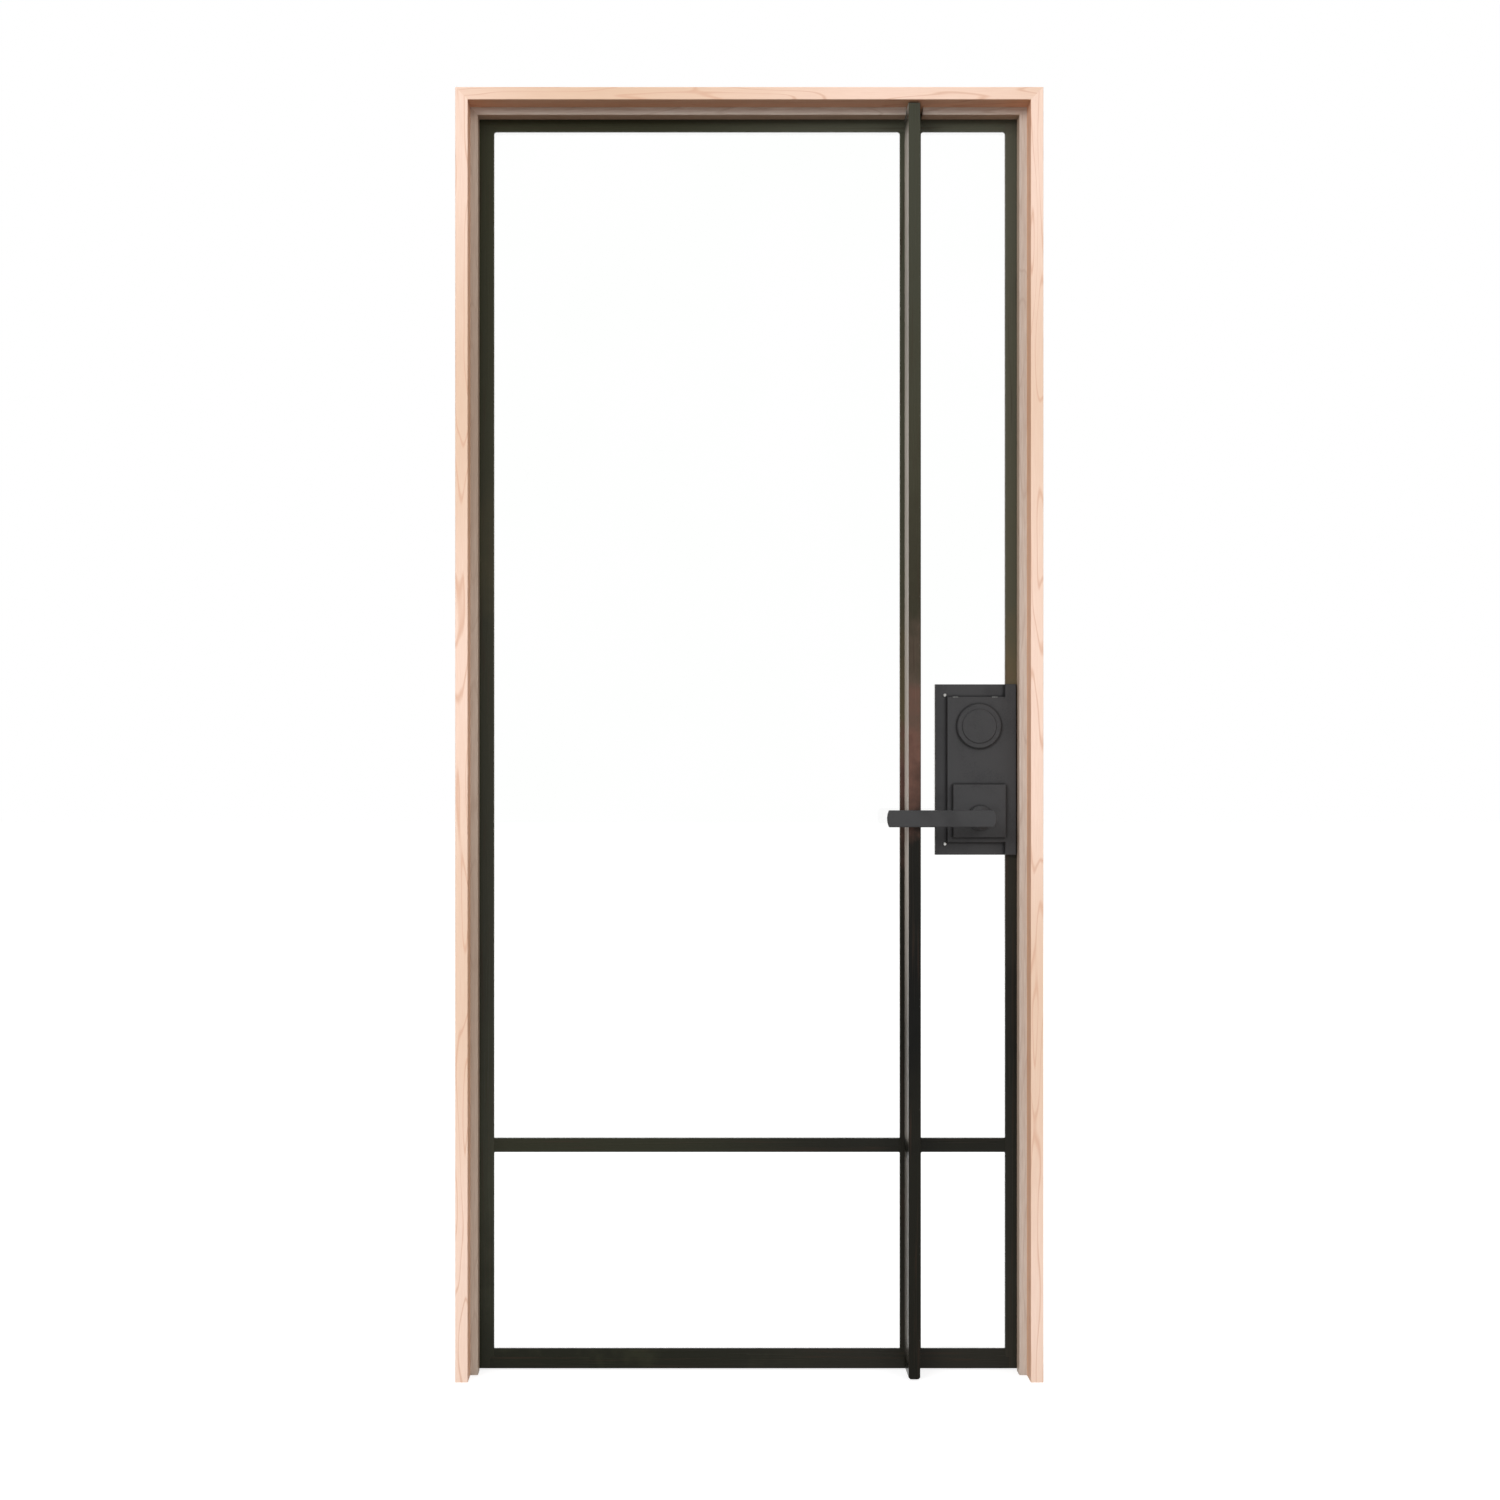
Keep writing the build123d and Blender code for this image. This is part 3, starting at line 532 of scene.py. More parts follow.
@dataclass(frozen=True)
class ExtrudedRubber(Finish):
    """Extruded rubber, dull black with faint lines from the die."""

    deep: str = "#141414"
    light: str = "#222221"
    line: float = 0.8 * MM
    length: float = 60 * MM
    rib_depth: float = 0.1 * MM

    def surface(self, tree: bpy.types.NodeTree) -> bpy.types.NodeSocket:
        """Builds the die lines.

        Args:
            tree: The material's node tree.

        Returns:
            The shader's socket.
        """
        place = add(tree, "ShaderNodeTexCoord").outputs["Object"]
        lines = drawn(tree, place, along(Grain.UPRIGHT, self.line, self.length), detail=2.0)
        colour = add(tree, "ShaderNodeValToRGB", {"Fac": lines},
                     stops=((0.35, self.deep), (0.7, self.light)))
        gloss = add(tree, "ShaderNodeMapRange", {
            "Value": lines, "To Min": 0.62, "To Max": 0.85})
        ribs = add(tree, "ShaderNodeBump", {
            "Strength": 0.3, "Distance": self.rib_depth, "Height": lines})
        return add(tree, "ShaderNodeBsdfPrincipled", {
            "Base Color": colour.outputs["Color"], "Roughness": gloss.outputs["Result"],
            "Specular IOR Level": 0.35, "Normal": ribs.outputs["Normal"]}).outputs[0]


@dataclass(frozen=True)
class BrushedStainless(Finish):
    """Stainless steel, brushed along its length with a fine belt.

    The eye sees bright grey metal whose highlights are drawn out across fine scratches.
    The scratches are drawn about twice as wide as they are, so that they show.
    """

    deep: str = "#8f8f8d"
    light: str = "#c9c8c5"
    scratch: float = 0.35 * MM
    length: float = 18 * MM
    scratch_depth: float = 0.05 * MM

    def surface(self, tree: bpy.types.NodeTree) -> bpy.types.NodeSocket:
        """Builds the belt's scratches.

        Args:
            tree: The material's node tree.

        Returns:
            The shader's socket.
        """
        place = add(tree, "ShaderNodeTexCoord").outputs["Object"]
        belt = drawn(tree, place, along(Grain.UPRIGHT, self.scratch, self.length),
                     detail=3.0, roughness=0.6)
        colour = add(tree, "ShaderNodeValToRGB", {"Fac": belt},
                     stops=((0.3, self.deep), (0.7, self.light)))
        gloss = add(tree, "ShaderNodeMapRange", {
            "Value": belt, "From Min": 0.3, "From Max": 0.7,
            "To Min": 0.24, "To Max": 0.42})
        cut = add(tree, "ShaderNodeBump", {
            "Strength": 0.15, "Distance": self.scratch_depth, "Height": belt})
        return add(tree, "ShaderNodeBsdfPrincipled", {
            "Base Color": colour.outputs["Color"], "Metallic": 1.0,
            "Roughness": gloss.outputs["Result"], "Normal": cut.outputs["Normal"]}).outputs[0]


@dataclass(frozen=True)
class MouldedPlastic(Finish):
    """Hard black plastic, moulded in a spark-eroded tool that leaves a fine even grain."""

    deep: str = "#1a1a1b"
    light: str = "#262627"
    grain: float = 0.8 * MM
    pit_depth: float = 0.08 * MM

    def surface(self, tree: bpy.types.NodeTree) -> bpy.types.NodeSocket:
        """Builds the tool's grain.

        Args:
            tree: The material's node tree.

        Returns:
            The shader's socket.
        """
        place = add(tree, "ShaderNodeTexCoord").outputs["Object"]
        grain = add(tree, "ShaderNodeTexVoronoi", {"Vector": place, "Scale": 1 / self.grain})
        colour = add(tree, "ShaderNodeValToRGB", {"Fac": grain.outputs["Distance"]},
                     stops=((0.1, self.deep), (0.8, self.light)))
        pits = add(tree, "ShaderNodeBump", {
            "Strength": 0.25, "Distance": self.pit_depth, "Height": grain.outputs["Distance"]})
        return add(tree, "ShaderNodeBsdfPrincipled", {
            "Base Color": colour.outputs["Color"], "Roughness": 0.55,
            "Normal": pits.outputs["Normal"]}).outputs[0]


class Bench:
    """A place to model one mesh at a time with Blender's own operators."""

    def __init__(self, name: str) -> None:
        """Names the piece that is about to be modelled."""
        self.name = name
        self.piece: bpy.types.Object | None = None

    @staticmethod
    def clear() -> None:
        """Leaves edit mode and deselects every object."""
        if bpy.context.object and bpy.context.object.mode != "OBJECT":
            bpy.ops.object.mode_set(mode="OBJECT")
        bpy.ops.object.select_all(action="DESELECT")

    def cylinder(self, radius: float, depth: float, low: float, sides: int) -> None:
        """Starts from an upright round bar.

        Args:
            radius: The bar's radius.
            depth: Its length.
            low: Height of its foot.
            sides: Number of its flat sides.
        """
        self.clear()
        bpy.ops.mesh.primitive_cylinder_add(vertices=sides, radius=radius, depth=depth,
                                            location=(0, 0, low + depth / 2))
        self.take()

    def cube(self, size: Sequence[float], middle: Sequence[float]) -> None:
        """Starts from a block.

        Args:
            size: Its size on the three axes.
            middle: Where its middle is.
        """
        self.clear()
        bpy.ops.mesh.primitive_cube_add(size=1, location=middle, scale=size)
        self.take()

    def take(self) -> None:
        """Takes the new primitive up, with its place moved into its mesh."""
        self.piece = bpy.context.object
        self.piece.name = self.piece.data.name = self.name
        bpy.ops.object.transform_apply(location=True, rotation=True, scale=True)

    def faces(self, test: Callable[[Vector, Vector], bool]) -> None:
        """Goes to edit mode with the faces selected that pass a test.

        Args:
            test: Called with each face's middle and normal.
        """
        bpy.ops.object.mode_set(mode="EDIT")
        bpy.ops.mesh.select_mode(type="FACE")
        bpy.ops.mesh.select_all(action="DESELECT")
        bpy.ops.object.mode_set(mode="OBJECT")
        for face in self.piece.data.polygons:
            face.select = test(face.center, face.normal)
        bpy.ops.object.mode_set(mode="EDIT")

    def towards(self, facing: Facing) -> None:
        """Goes to edit mode with the faces selected that look squarely one way."""
        way = Vector(facing.value)
        self.faces(lambda middle, normal: normal.dot(way) > SQUARE_ON)

    def done(self, sharp: float) -> bpy.types.Object:
        """Leaves edit mode, turns the normals outwards and smooths the shading.

        Args:
            sharp: Edges sharper than this, in degrees, stay sharp.

        Returns:
            The finished piece.
        """
        bpy.ops.object.mode_set(mode="EDIT")
        bpy.ops.mesh.select_all(action="SELECT")
        bpy.ops.mesh.normals_make_consistent(inside=False)
        bpy.ops.object.mode_set(mode="OBJECT")
        bpy.ops.object.shade_smooth_by_angle(angle=math.radians(sharp))
        return self.piece

    def cut(self, cutter: bpy.types.Object) -> None:
        """Takes another mesh out of this one and removes it.

        Args:
            cutter: The mesh to take out.
        """
        self.clear()
        bpy.context.view_layer.objects.active = self.piece
        self.piece.select_set(True)
        carve = self.piece.modifiers.new("cut", "BOOLEAN")
        carve.operation, carve.solver, carve.object = "DIFFERENCE", "EXACT", cutter
        bpy.ops.object.modifier_apply(modifier=carve.name)
        bpy.data.objects.remove(cutter, do_unlink=True)


def stand(at: Sequence[float], facing: Facing, turn: float = 0.0) -> Matrix:
    """Place of a fastener whose head is modelled facing up.

    Args:
        at: Where the surface under the head is.
        facing: The way the head points.
        turn: Turn of the recess about the fastener's axis, in degrees.

    Returns:
        The matrix that puts the master there.
    """
    aim = Vector(facing.value).to_track_quat("Z", "Y").to_matrix().to_4x4()
    return Matrix.Translation(Vector(at)) @ aim @ Matrix.Rotation(math.radians(turn), 4, "Z")


def stamp(master: bpy.types.Object, name: str, places: Sequence[Matrix]) -> bpy.types.Object:
    """Copies a master to several places, as one piece.

    Args:
        master: The piece that is modelled once.
        name: The new piece's name.
        places: Where each copy goes.

    Returns:
        The piece, at the origin with its places in its mesh.
    """
    Bench.clear()
    copies = []
    for place in places:
        copy = master.copy()
        copy.data = master.data.copy()
        bpy.context.collection.objects.link(copy)
        copy.matrix_world = place
        copy.select_set(True)
        copies.append(copy)
    bpy.context.view_layer.objects.active = copies[0]
    bpy.ops.object.transform_apply(location=True, rotation=True, scale=True)
    bpy.ops.object.join()
    copies[0].name = copies[0].data.name = name
    return copies[0]


class Paint:
    """All the door's finishes, each made once."""

    def __init__(self) -> None:
        """Makes the materials."""
        # Each timber has the colours of its pale wood, warm wood, growth lines, and the painted shade
        # that tints its side faces.
        maple = ("#f9decd", "#e8cbb3", "#d8a98c", "#ffe6d0")
        # The head's maple, a shade darker than the jambs': painted shade.
        deeper = ("#f6d9c7", "#e4c5ab", "#d9ac90", "#ffe6d0")
        ash = ("#dcd2c8", "#d6cabf", "#b5a091", "#ffefe2")
        # The hinge-side stop's ash, darker than the other stops': painted shade from the hinge jamb.
        ash_in_painted_shade = ("#ccbfb1", "#c0b0a0", "#ae9a89", "#ffefe2")
        self.jamb = LacqueredTimber("maple_planed_lacquered_upright", *maple, Grain.UPRIGHT).material()
        self.head = LacqueredTimber("maple_planed_lacquered_level", *deeper, Grain.LEVEL,
                                    pale_at=250 * MM).material()
        open_pored = {"fibre_strength": 0.55, "fibre_width": 2.2 * MM, "line_strength": 0.4}
        self.stop = LacqueredTimber("ash_planed_stained_upright", *ash, Grain.UPRIGHT,
                                    **open_pored).material()
        self.hinge_stop = LacqueredTimber("ash_planed_stained_painted_shade", *ash_in_painted_shade, Grain.UPRIGHT,
                                          **open_pored).material()
        self.head_stop = LacqueredTimber("ash_planed_stained_level", *ash, Grain.LEVEL,
                                         **open_pored).material()
        self.black = WaxedBlackSteel("steel_hot_rolled_blackened_waxed_upright").material()
        # The rails' colour is lighter at the top of the leaf: painted light that takes out the head
        # stop's shadow on the top rail.
        self.black_level = WaxedBlackSteel(
            "steel_hot_rolled_blackened_waxed_level", grain=Grain.LEVEL,
            lock_side=WaxedBlackSteel.lock_side[:-1] + ((0.95, "#505245"),)).material()
        self.stile = WaxedBlackSteel(
            "steel_cold_formed_blackened_waxed",
            lock_side=((0.03, "#2a2922"), (0.27, "#1a1914"), (0.34, "#26241e"), (0.41, "#2b2922"),
                       (0.48, "#60463e"), (0.54, "#605540"), (0.63, "#504e40"), (0.95, "#515145")),
            hinge_side=((0.02, "#25261c"), (0.13, "#38392d"), (0.30, "#303026"), (0.57, "#343429"),
                        (0.64, "#403d2e"), (0.72, "#37372a"), (0.95, "#363727"))).material()
        self.fin = WaxedBlackSteel(
            "steel_box_section_blackened_waxed",
            lock_side=((0.03, "#14130d"), (0.17, "#17160f"), (0.28, "#080806"), (0.42, "#151410"),
                       (0.48, "#65493f"), (0.54, "#50443a"), (0.60, "#343125"), (0.72, "#3c3b2e"),
                       (0.95, "#404136"))).material()
        self.grey = PowderCoat("zinc_die_cast_powder_coated").material()
        self.glass = FloatGlass("glass_float_clear").material()
        self.rubber = ExtrudedRubber("rubber_extruded_black").material()
        self.steel = BrushedStainless("stainless_steel_brushed").material()
        self.plastic = MouldedPlastic("plastic_moulded_black").material()
        self.matt = MattPaint("steel_pressed_matt_painted").material()
        self.zinc = BrushedStainless("steel_zinc_plated_dulled", "#4e4e4d", "#757573").material()


def coat(nodes: dict[str, bpy.types.Object], names: Iterable[str],
         material: bpy.types.Material) -> None:
    """Gives carried-over solids a finish.

    Args:
        nodes: The frame's objects by name.
        names: Which of them take the finish.
        material: The finish.
    """
    for name in names:
        nodes[name].data.materials.clear()
        nodes[name].data.materials.append(material)
        LOG.info("dressed %s in %s", name, material.name)


def fit(piece: bpy.types.Object, material: bpy.types.Material, body: str) -> None:
    """Finishes a new piece and lets it ride on a body.

    Args:
        piece: The new piece.
        material: Its finish.
        body: The body that carries it.
    """
    piece.data.materials.clear()
    piece.data.materials.append(material)
    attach(piece, body)
    LOG.info("fitted %s on %s: %d faces", piece.name, body, len(piece.data.polygons))


@dataclass
class Screws:
    """Countersunk cross-recess screws, modelled once for all plates."""

    radius: float = 4.4 * MM
    proud: float = 0.35 * MM
    rim: float = 0.5 * MM
    depth: float = 2.4 * MM
    cone_share: float = 0.5
    sides: int = 28
    head_sharp: float = 20.0
    slot_width: float = 1.1 * MM
    slot_reach: float = 2.7 * MM
    slot_depth: float = 1.5 * MM
    slot_foot_share: float = 0.55
    slot_sharp: float = 35.0
    close: float = 0.01 * MM

    def cross(self) -> bpy.types.Object:
        """Cutter for the recess: a block whose four sides are drawn out and its foot drawn in.

        Returns:
            The cutter.
        """
        bench = Bench("recess")
        low = self.proud - self.slot_depth
        height = self.slot_depth + self.depth
        bench.cube((self.slot_width, self.slot_width, height), (0, 0, low + height / 2))
        arm = self.slot_reach - self.slot_width / 2
        for facing in (Facing.RIGHT, Facing.LEFT, Facing.REAR, Facing.FRONT):
            side = Vector(facing.value)
            across = Vector((-side.y, side.x, 0))
            bench.faces(lambda middle, normal: normal.dot(side) > SQUARE_ON
                        and abs(middle.dot(side) - self.slot_width / 2) < self.close
                        and abs(middle.dot(across)) < self.close)
            bpy.ops.mesh.extrude_region_move(TRANSFORM_OT_translate={"value": tuple(side * arm)})
        bench.towards(Facing.DOWN)
        bpy.ops.transform.resize(value=(self.slot_foot_share, self.slot_foot_share, 1),
                                 center_override=(0, 0, low))
        return bench.done(self.slot_sharp)

    def master(self) -> bpy.types.Object:
        """Head with a coned underside, an eased rim, a slight dome and the recess.

        Returns:
            The master screw, facing up.
        """
        bench = Bench("screw_master")
        bench.cylinder(self.radius, self.depth + self.proud, -self.depth, self.sides)
        bench.towards(Facing.DOWN)
        bpy.ops.transform.resize(value=(self.cone_share, self.cone_share, 1),
                                 center_override=(0, 0, -self.depth))
        bench.towards(Facing.UP)
        bpy.ops.transform.translate(value=(0, 0, -self.proud / 2))
        bpy.ops.mesh.inset(thickness=self.rim)
        bpy.ops.transform.translate(value=(0, 0, self.proud / 3))
        bpy.ops.mesh.inset(thickness=self.rim * 2)
        bpy.ops.transform.translate(value=(0, 0, self.proud / 6))
        screw = bench.done(self.head_sharp)
        bench.cut(self.cross())
        return screw


@dataclass(frozen=True)
class RoundHead:
    """A short bar whose top edge is rounded over and whose middle is raised a little."""

    name: str
    radius: float
    height: float
    rounding: float
    inset: float
    crown: float
    sides: int
    sharp: float
    steps: int = 5

    def master(self) -> bpy.types.Object:
        """Models the head.

        Returns:
            The master head, facing up.
        """
        bench = Bench(self.name)
        bench.cylinder(self.radius, self.height, 0, self.sides)
        bench.towards(Facing.UP)
        bpy.ops.mesh.bevel(offset=self.rounding, segments=self.steps, affect="EDGES")
        bench.towards(Facing.UP)
        bpy.ops.mesh.inset(thickness=self.inset)
        bpy.ops.transform.translate(value=(0, 0, self.crown))
        return bench.done(self.sharp)


@dataclass
class TimberFrame:
    """The jambs, head and stops with their seal, and the strikes let into the lock jamb."""

    legs: tuple[str, ...] = ("hinge_jamb", "strike_jamb")
    strikes: tuple[str, ...] = ("latch_strike_plate", "deadbolt_strike_plate")
    screw_margin: float = 9 * MM
    first_turn: float = 25.0
    turn_step: float = 40.0

    def build(self, screw: bpy.types.Object, paint: Paint) -> None:
        """Fits two screws to each strike.

        Args:
            screw: The master screw.
            paint: The finishes.
        """
        for strike, name in enumerate(self.strikes):
            low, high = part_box(name)
            heights = (low.z + self.screw_margin, high.z - self.screw_margin)
            places = [stand((low.x, 0, height), Facing.LEFT,
                            self.first_turn + self.turn_step * (strike + number))
                      for number, height in enumerate(heights)]
            fit(stamp(screw, name + "_screws", places), paint.steel, "frame")

    def dress(self, nodes: dict[str, bpy.types.Object], paint: Paint) -> None:
        """Gives the timber, the seal and the strikes their finishes.

        Args:
            nodes: The frame's objects by name.
            paint: The finishes.
        """
        coat(nodes, self.legs, paint.jamb)
        coat(nodes, ("head_jamb",), paint.head)
        coat(nodes, ("hinge_side_stop",), paint.hinge_stop)
        coat(nodes, ("strike_side_stop",), paint.stop)
        coat(nodes, ("head_stop",), paint.head_stop)
        coat(nodes, ("door_seal",), paint.rubber)
        coat(nodes, self.strikes, paint.steel)


@dataclass
class Hinges:
    """Three butt hinges with their screws and the buttons on their pins."""

    places: tuple[str, ...] = ("top", "middle", "bottom")
    # Each screw's place, as shares of the plate's height and width.
    shares: tuple[tuple[float, float], ...] = ((0.18, 0.30), (0.50, 0.68), (0.82, 0.30))
    plate_width: float = 33 * MM
    turn_up_plate: float = 50.0
    turn_step: float = 33.0
    button: RoundHead = RoundHead("button_master", radius=5.4 * MM, height=2.6 * MM, rounding=1.7 * MM,
                                  inset=1.62 * MM, crown=0.255 * MM, sides=32, sharp=40.0)

    def build(self, screw: bpy.types.Object, paint: Paint) -> None:
        """Fits three screws to each plate and a button to each end of each pin.

        Args:
            screw: The master screw.
            paint: The finishes.
        """
        sides = (("frame", "frame", Facing.RIGHT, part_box("head_stop")[0].x),
                 ("door", "door_leaf", Facing.LEFT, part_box("hinge_stile")[0].x))
        for number, place in enumerate(self.places):
            for side, body, facing, edge in sides:
                low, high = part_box(f"{side}_hinge_leaf_{place}")
                spots = [stand((edge, low.y + across * self.plate_width,
                                low.z + up * (high.z - low.z)), facing,
                               self.turn_up_plate * up + self.turn_step * number)
                         for up, across in self.shares]
                fit(stamp(screw, f"{side}_hinge_screws_{place}", spots), paint.steel, body)
        self.crown(paint)

    def crown(self, paint: Paint) -> None:
        """Sets the buttons on the pins.

        Args:
            paint: The finishes.
        """
        button = self.button.master()
        pins_low, pins_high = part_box("hinge_pins")
        axis = (pins_low + pins_high) / 2
        cap = pins_high.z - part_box("frame_hinge_leaf_top")[1].z
        spots = []
        for place in self.places:
            low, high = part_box("frame_hinge_leaf_" + place)
            spots.append(stand((axis.x, axis.y, high.z + cap), Facing.UP))
            spots.append(stand((axis.x, axis.y, low.z - cap), Facing.DOWN))
        fit(stamp(button, "hinge_pin_buttons", spots), paint.black, "frame")
        bpy.data.objects.remove(button, do_unlink=True)

    def dress(self, nodes: dict[str, bpy.types.Object], paint: Paint) -> None:
        """Gives the hinges their finish."""
        plates = [f"{side}_hinge_leaf_{place}" for side in ("frame", "door") for place in self.places]
        coat(nodes, plates + ["hinge_pins"], paint.black)


@dataclass
class SteelLeaf:
    """The welded steel leaf with its fin and its four panes."""

    stiles: tuple[str, ...] = ("hinge_stile", "lock_stile")
    uprights: tuple[str, ...] = ("mullion", "hinge_reinforcements", "lock_box")
    rails: tuple[str, ...] = ("top_rail", "bottom_rail", "mid_rail_wide", "mid_rail_narrow")
    lights: tuple[str, ...] = ("upper_wide", "upper_narrow", "lower_wide", "lower_narrow")
    weld_size: float = 4.5 * MM
    weld_depth: float = 4 * MM
    weld_sharp: float = 25.0
    hollow_sides: int = 64
    small_share: float = 0.5

    def weld(self) -> bpy.types.Object:
        """Ground-down weld in a corner between two lips, hollow towards the glass.

        Returns:
            The master weld, facing up, with its square corner at the origin.
        """
        bench = Bench("weld_master")
        size, depth = self.weld_size, self.weld_depth
        bench.cube((size, size, depth), (size / 2, size / 2, -depth / 2))
        round_bar = Bench("hollow")
        round_bar.cylinder(size, depth * 3, -depth * 2, self.hollow_sides)
        bpy.ops.transform.translate(value=(size, size, 0))
        bpy.ops.object.transform_apply(location=True, rotation=True, scale=True)
        bench.cut(round_bar.piece)
        return bench.done(self.weld_sharp)

    def build(self, paint: Paint) -> None:
        """Fits a weld to each corner of each light, full size under the top rail only.

        Args:
            paint: The finishes.
        """
        weld = self.weld()
        hinge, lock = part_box("hinge_stile"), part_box("lock_stile")
        mullion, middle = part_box("mullion"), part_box("mid_rail_wide")
        low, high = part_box("bottom_rail")[1].z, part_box("top_rail")[0].z
        spots = []
        for left, right in ((hinge[1].x, mullion[0].x), (mullion[1].x, lock[0].x)):
            for foot, head in ((low, middle[0].z), (middle[1].z, high)):
                for turn, x, z in ((0, left, foot), (90, right, foot), (180, right, head),
                                   (270, left, head)):
                    share = 1.0 if z == high else self.small_share
                    place = stand((x, mullion[0].y, z), Facing.FRONT, turn)
                    spots.append(place @ Matrix.Scale(share, 4))
        fit(stamp(weld, "corner_welds", spots), paint.black, "door_leaf")
        bpy.data.objects.remove(weld, do_unlink=True)

    def dress(self, nodes: dict[str, bpy.types.Object], paint: Paint) -> None:
        """Gives steel, beads, glass, tape and blocks their finishes.

        Args:
            nodes: The frame's objects by name.
            paint: The finishes.
        """
        coat(nodes, self.stiles, paint.stile)
        coat(nodes, self.uprights, paint.black)
        coat(nodes, ("mullion_fin",), paint.fin)
        coat(nodes, self.rails, paint.black_level)
        coat(nodes, ["glazing_beads_" + light for light in self.lights], paint.matt)
        panes = ["glass_" + light for light in self.lights]
        coat(nodes, panes, paint.glass)
        # Light falls through the panes as through open air.
        for pane in panes:
            nodes[pane].visible_shadow = False
        coat(nodes, ("glazing_tape",), paint.rubber)
        coat(nodes, ("setting_blocks",), paint.plastic)


@dataclass
class LockSet:
    """The lever lock and deadbolt with their plates, faceplates and small fixings."""

    coated: tuple[str, ...] = ("front_lock_plate", "rear_lock_plate", "front_lever_rose",
                               "rear_lever_rose", "front_bolt_rose", "front_bolt_disc",
                               "rear_bolt_rose", "front_lever", "rear_lever", "thumb_turn")
    faceplates: tuple[str, ...] = ("latch_faceplate", "deadbolt_faceplate")
    bright: tuple[str, ...] = ("latch_bolt", "deadbolt", "spindle", "tailpiece", "latch_case",
                               "deadbolt_case")
    faceplate_margin: float = 8 * MM
    first_turn: float = 15.0
    turn_step: float = 50.0
    flange: float = 2 * MM
    panel_left: float = 19 * MM
    panel_margin: float = 21 * MM
    stud: RoundHead = RoundHead("stud_master", radius=3.0 * MM, height=1.7 * MM, rounding=1.19 * MM,
                                inset=0.6 * MM, crown=0.102 * MM, sides=28, sharp=45.0)
    stud_offset: float = 2.9 * MM
    clip_shares: tuple[float, float] = (0.118, 0.685)
    clip_width: float = 9 * MM
    clip_drop: float = 1.6 * MM
    clip_run: float = 6 * MM
    clip_gauge: float = 0.6 * MM
    clip_round_share: float = 0.25
    clip_steps: int = 2
    clip_sharp: float = 30.0

    def clip(self) -> bpy.types.Object:
        """Spring clip: a thin strip folded down over the panel's front edge.

        Returns:
            The master clip, with its fold along X at the panel's top front edge.
        """
        bench = Bench("clip_master")
        gauge = self.clip_gauge
        bench.cube((self.clip_width, self.clip_run, gauge), (0, self.clip_run / 2, gauge / 2))
        bench.towards(Facing.FRONT)
        bpy.ops.mesh.extrude_region_move(TRANSFORM_OT_translate={"value": (0, -gauge, 0)})
        bench.faces(lambda middle, normal: -normal.z > SQUARE_ON and middle.y < 0)
        bpy.ops.mesh.extrude_region_move(TRANSFORM_OT_translate={"value": (0, 0, -self.clip_drop)})
        bpy.ops.mesh.select_all(action="SELECT")
        bpy.ops.mesh.bevel(offset=gauge * self.clip_round_share, segments=self.clip_steps,
                           affect="EDGES")
        return bench.done(self.clip_sharp)

    def build(self, screw: bpy.types.Object, paint: Paint) -> None:
        """Fits screws to the faceplates, studs to both plates and clips to the front panel.

        Args:
            screw: The master screw.
            paint: The finishes.
        """
        for number, name in enumerate(self.faceplates):
            low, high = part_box(name)
            spots = [stand((high.x, 0, height), Facing.RIGHT, self.first_turn + self.turn_step * number)
                     for height in (low.z + self.faceplate_margin, high.z - self.faceplate_margin)]
            fit(stamp(screw, name + "_screws", spots), paint.steel, "door_leaf")
        stud, clip = self.stud.master(), self.clip()
        low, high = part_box("front_lock_plate")
        left, top = low.x + self.panel_left, high.z - self.panel_margin
        heights = (low.z + self.panel_margin - self.stud_offset, top + self.stud_offset)
        for side, depth, facing in (("front", high.y - self.flange, Facing.FRONT),
                                    ("rear", self.flange - high.y, Facing.REAR)):
            spots = [stand((left - self.stud_offset, depth, height), facing) for height in heights]
            fit(stamp(stud, side + "_cover_studs", spots), paint.steel, "door_leaf")
        spots = [Matrix.Translation((left + share * (high.x - left), low.y, top))
                 for share in self.clip_shares]
        fit(stamp(clip, "front_panel_clips", spots), paint.zinc, "door_leaf")
        for master in (stud, clip):
            bpy.data.objects.remove(master, do_unlink=True)

    def dress(self, nodes: dict[str, bpy.types.Object], paint: Paint) -> None:
        """Gives the coated and the bright pieces their finishes.

        Args:
            nodes: The frame's objects by name.
            paint: The finishes.
        """
        coat(nodes, self.coated, paint.grey)
        coat(nodes, self.faceplates + self.bright, paint.steel)
        # The glass behind the lever mirrors the plain surroundings alone.
        nodes["front_lever"].visible_glossy = False


@dataclass(frozen=True)
class Lamp:
    """One soft square lamp, which lights the object and isn't seen itself."""

    name: str
    at: tuple[float, float, float]
    target: tuple[float, float, float]
    size: float
    power: float

    def build(self) -> None:
        """Hangs the lamp and points it at its target."""
        data = bpy.data.lights.new(self.name, "AREA")
        data.shape, data.size, data.energy = "SQUARE", self.size, self.power
        lamp = bpy.data.objects.new(self.name, data)
        lamp.location = self.at
        aim = Vector(self.target) - Vector(self.at)
        lamp.rotation_euler = aim.to_track_quat("-Z", "Y").to_euler()
        lamp.visible_camera = lamp.visible_glossy = lamp.visible_transmission = False
        bpy.context.collection.objects.link(lamp)


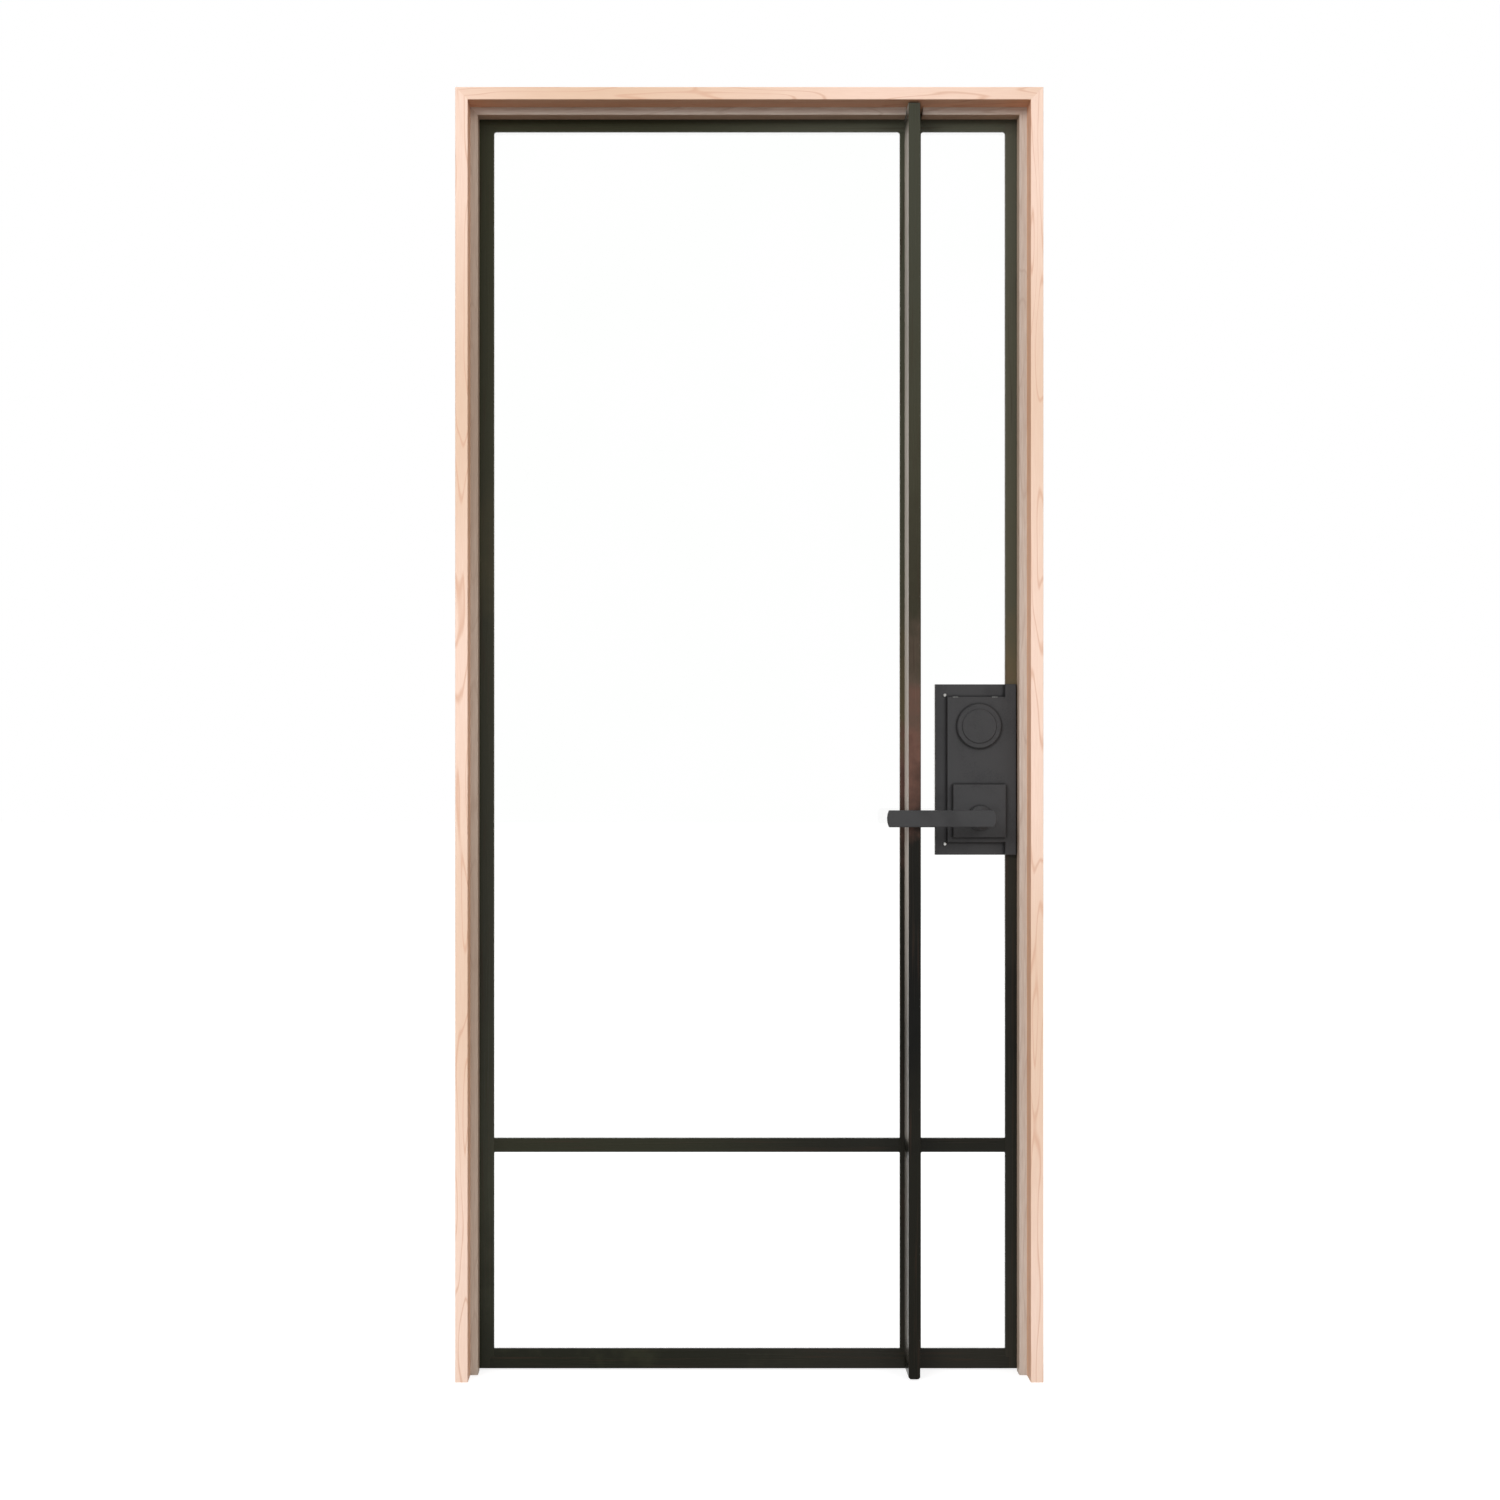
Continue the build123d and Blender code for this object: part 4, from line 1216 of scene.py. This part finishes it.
@dataclass
class Studio:
    """Pale floor, soft lamps, plain white surroundings and the camera, in metres and watts."""

    image: int = 1500
    sensor: float = 36.0
    scale: float = 1.6335 * MM
    distance: float = 3.380
    eye: tuple[float, float, float] = (-0.0969, -3.471, 1.0169)
    vanishing: tuple[float, float] = (690.0, 760.0)
    white: str = "#ffffff"
    ambient: float = 0.60
    floor_size: float = 60.0
    floor_glow: float = 0.80
    floor_paint: str = "#a7a7a7"
    floor_bounce: str = "#5a473a"
    lamps: tuple[Lamp, ...] = (
        Lamp("key", (-4.5, -7.5, 4.6), (0, 0, 0.6), 3.5, 396),
        Lamp("fill", (4.2, -7.0, 4.6), (0, 0, 0.6), 3.5, 178),
        Lamp("back", (3.0, 7.0, 4.6), (0, 0, 0.6), 3.5, 170),
        Lamp("foot", (-0.3, -3.2, 0.5), (0, 0, 0.2), 1.4, 21))

    def seen(self, tree: bpy.types.NodeTree) -> bpy.types.NodeSocket:
        """One for rays that show the surroundings to the eye, in metal or through glass.

        Light that a dull surface has scattered is not counted, also behind the glass.

        Args:
            tree: The world's or the floor's node tree.

        Returns:
            The socket with the choice.
        """
        path = add(tree, "ShaderNodeLightPath")
        pair = add(tree, "ShaderNodeMath", {
            0: path.outputs["Is Camera Ray"], 1: path.outputs["Is Glossy Ray"]},
            operation="MAXIMUM")
        any_of = add(tree, "ShaderNodeMath", {
            0: pair.outputs[0], 1: path.outputs["Is Transmission Ray"]}, operation="MAXIMUM")
        unbounced = add(tree, "ShaderNodeMath", {
            0: path.outputs["Diffuse Depth"], 1: 0.5}, operation="LESS_THAN")
        return add(tree, "ShaderNodeMath", {
            0: any_of.outputs[0], 1: unbounced.outputs[0]}, operation="MULTIPLY").outputs[0]

    def surroundings(self) -> None:
        """White to the eye, and a plain soft light on the object."""
        world = bpy.data.worlds.new("white_surroundings")
        bpy.context.scene.world = world
        world.use_nodes = True
        tree = world.node_tree
        tree.nodes.clear()
        strength = add(tree, "ShaderNodeMapRange", {
            "Value": self.seen(tree), "To Min": self.ambient, "To Max": 1.0})
        light = add(tree, "ShaderNodeBackground", {
            "Color": linear(self.white), "Strength": strength.outputs["Result"]})
        add(tree, "ShaderNodeOutputWorld", {"Surface": light.outputs[0]})

    def floor(self) -> None:
        """Plain pale floor that keeps the object's shadow and throws little light back at it."""
        Bench.clear()
        bpy.ops.mesh.primitive_plane_add(size=self.floor_size)
        floor = bpy.context.object
        floor.name = "studio_floor"
        made = bpy.data.materials.new("floor_painted_white")
        made.use_nodes = True
        tree = made.node_tree
        tree.nodes.clear()
        glow = add(tree, "ShaderNodeEmission", {
            "Color": linear(self.white), "Strength": self.floor_glow})
        paint = add(tree, "ShaderNodeBsdfDiffuse", {"Color": linear(self.floor_paint)})
        pale = add(tree, "ShaderNodeAddShader", {0: glow.outputs[0], 1: paint.outputs[0]})
        bounce = add(tree, "ShaderNodeBsdfDiffuse", {"Color": linear(self.floor_bounce)})
        either = add(tree, "ShaderNodeMixShader", {
            0: self.seen(tree), 1: bounce.outputs[0], 2: pale.outputs[0]})
        add(tree, "ShaderNodeOutputMaterial", {"Surface": either.outputs[0]})
        floor.data.materials.append(made)

    def camera(self) -> None:
        """Sets the camera up square to the door, with the view shifted as the lens was."""
        data = bpy.data.cameras.new("view")
        data.sensor_width = self.sensor
        data.lens = self.sensor * self.distance / (self.image * self.scale)
        data.shift_x = (self.image / 2 - self.vanishing[0]) / self.image
        data.shift_y = (self.vanishing[1] - self.image / 2) / self.image
        view = bpy.data.objects.new("view", data)
        view.location = self.eye
        view.rotation_euler = (math.pi / 2, 0, 0)
        bpy.context.collection.objects.link(view)
        bpy.context.scene.camera = view

    def build(self) -> None:
        """Builds the whole studio."""
        self.surroundings()
        self.floor()
        for lamp in self.lamps:
            lamp.build()
        self.camera()
        bpy.context.scene.view_settings.view_transform = "Standard"


def main() -> None:
    """Builds and dresses the door."""
    logging.basicConfig(level=logging.INFO, format="%(name)s: %(message)s")
    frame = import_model()
    paint = Paint()
    screw = Screws().master()
    timber, hinges, leaf, lock = TimberFrame(), Hinges(), SteelLeaf(), LockSet()
    timber.build(screw, paint)
    hinges.build(screw, paint)
    leaf.build(paint)
    lock.build(screw, paint)
    for part in (timber, hinges, leaf, lock):
        part.dress(frame["nodes"], paint)
    bpy.data.objects.remove(screw, do_unlink=True)
    Studio().build()


if __name__ == "__main__":
    main()
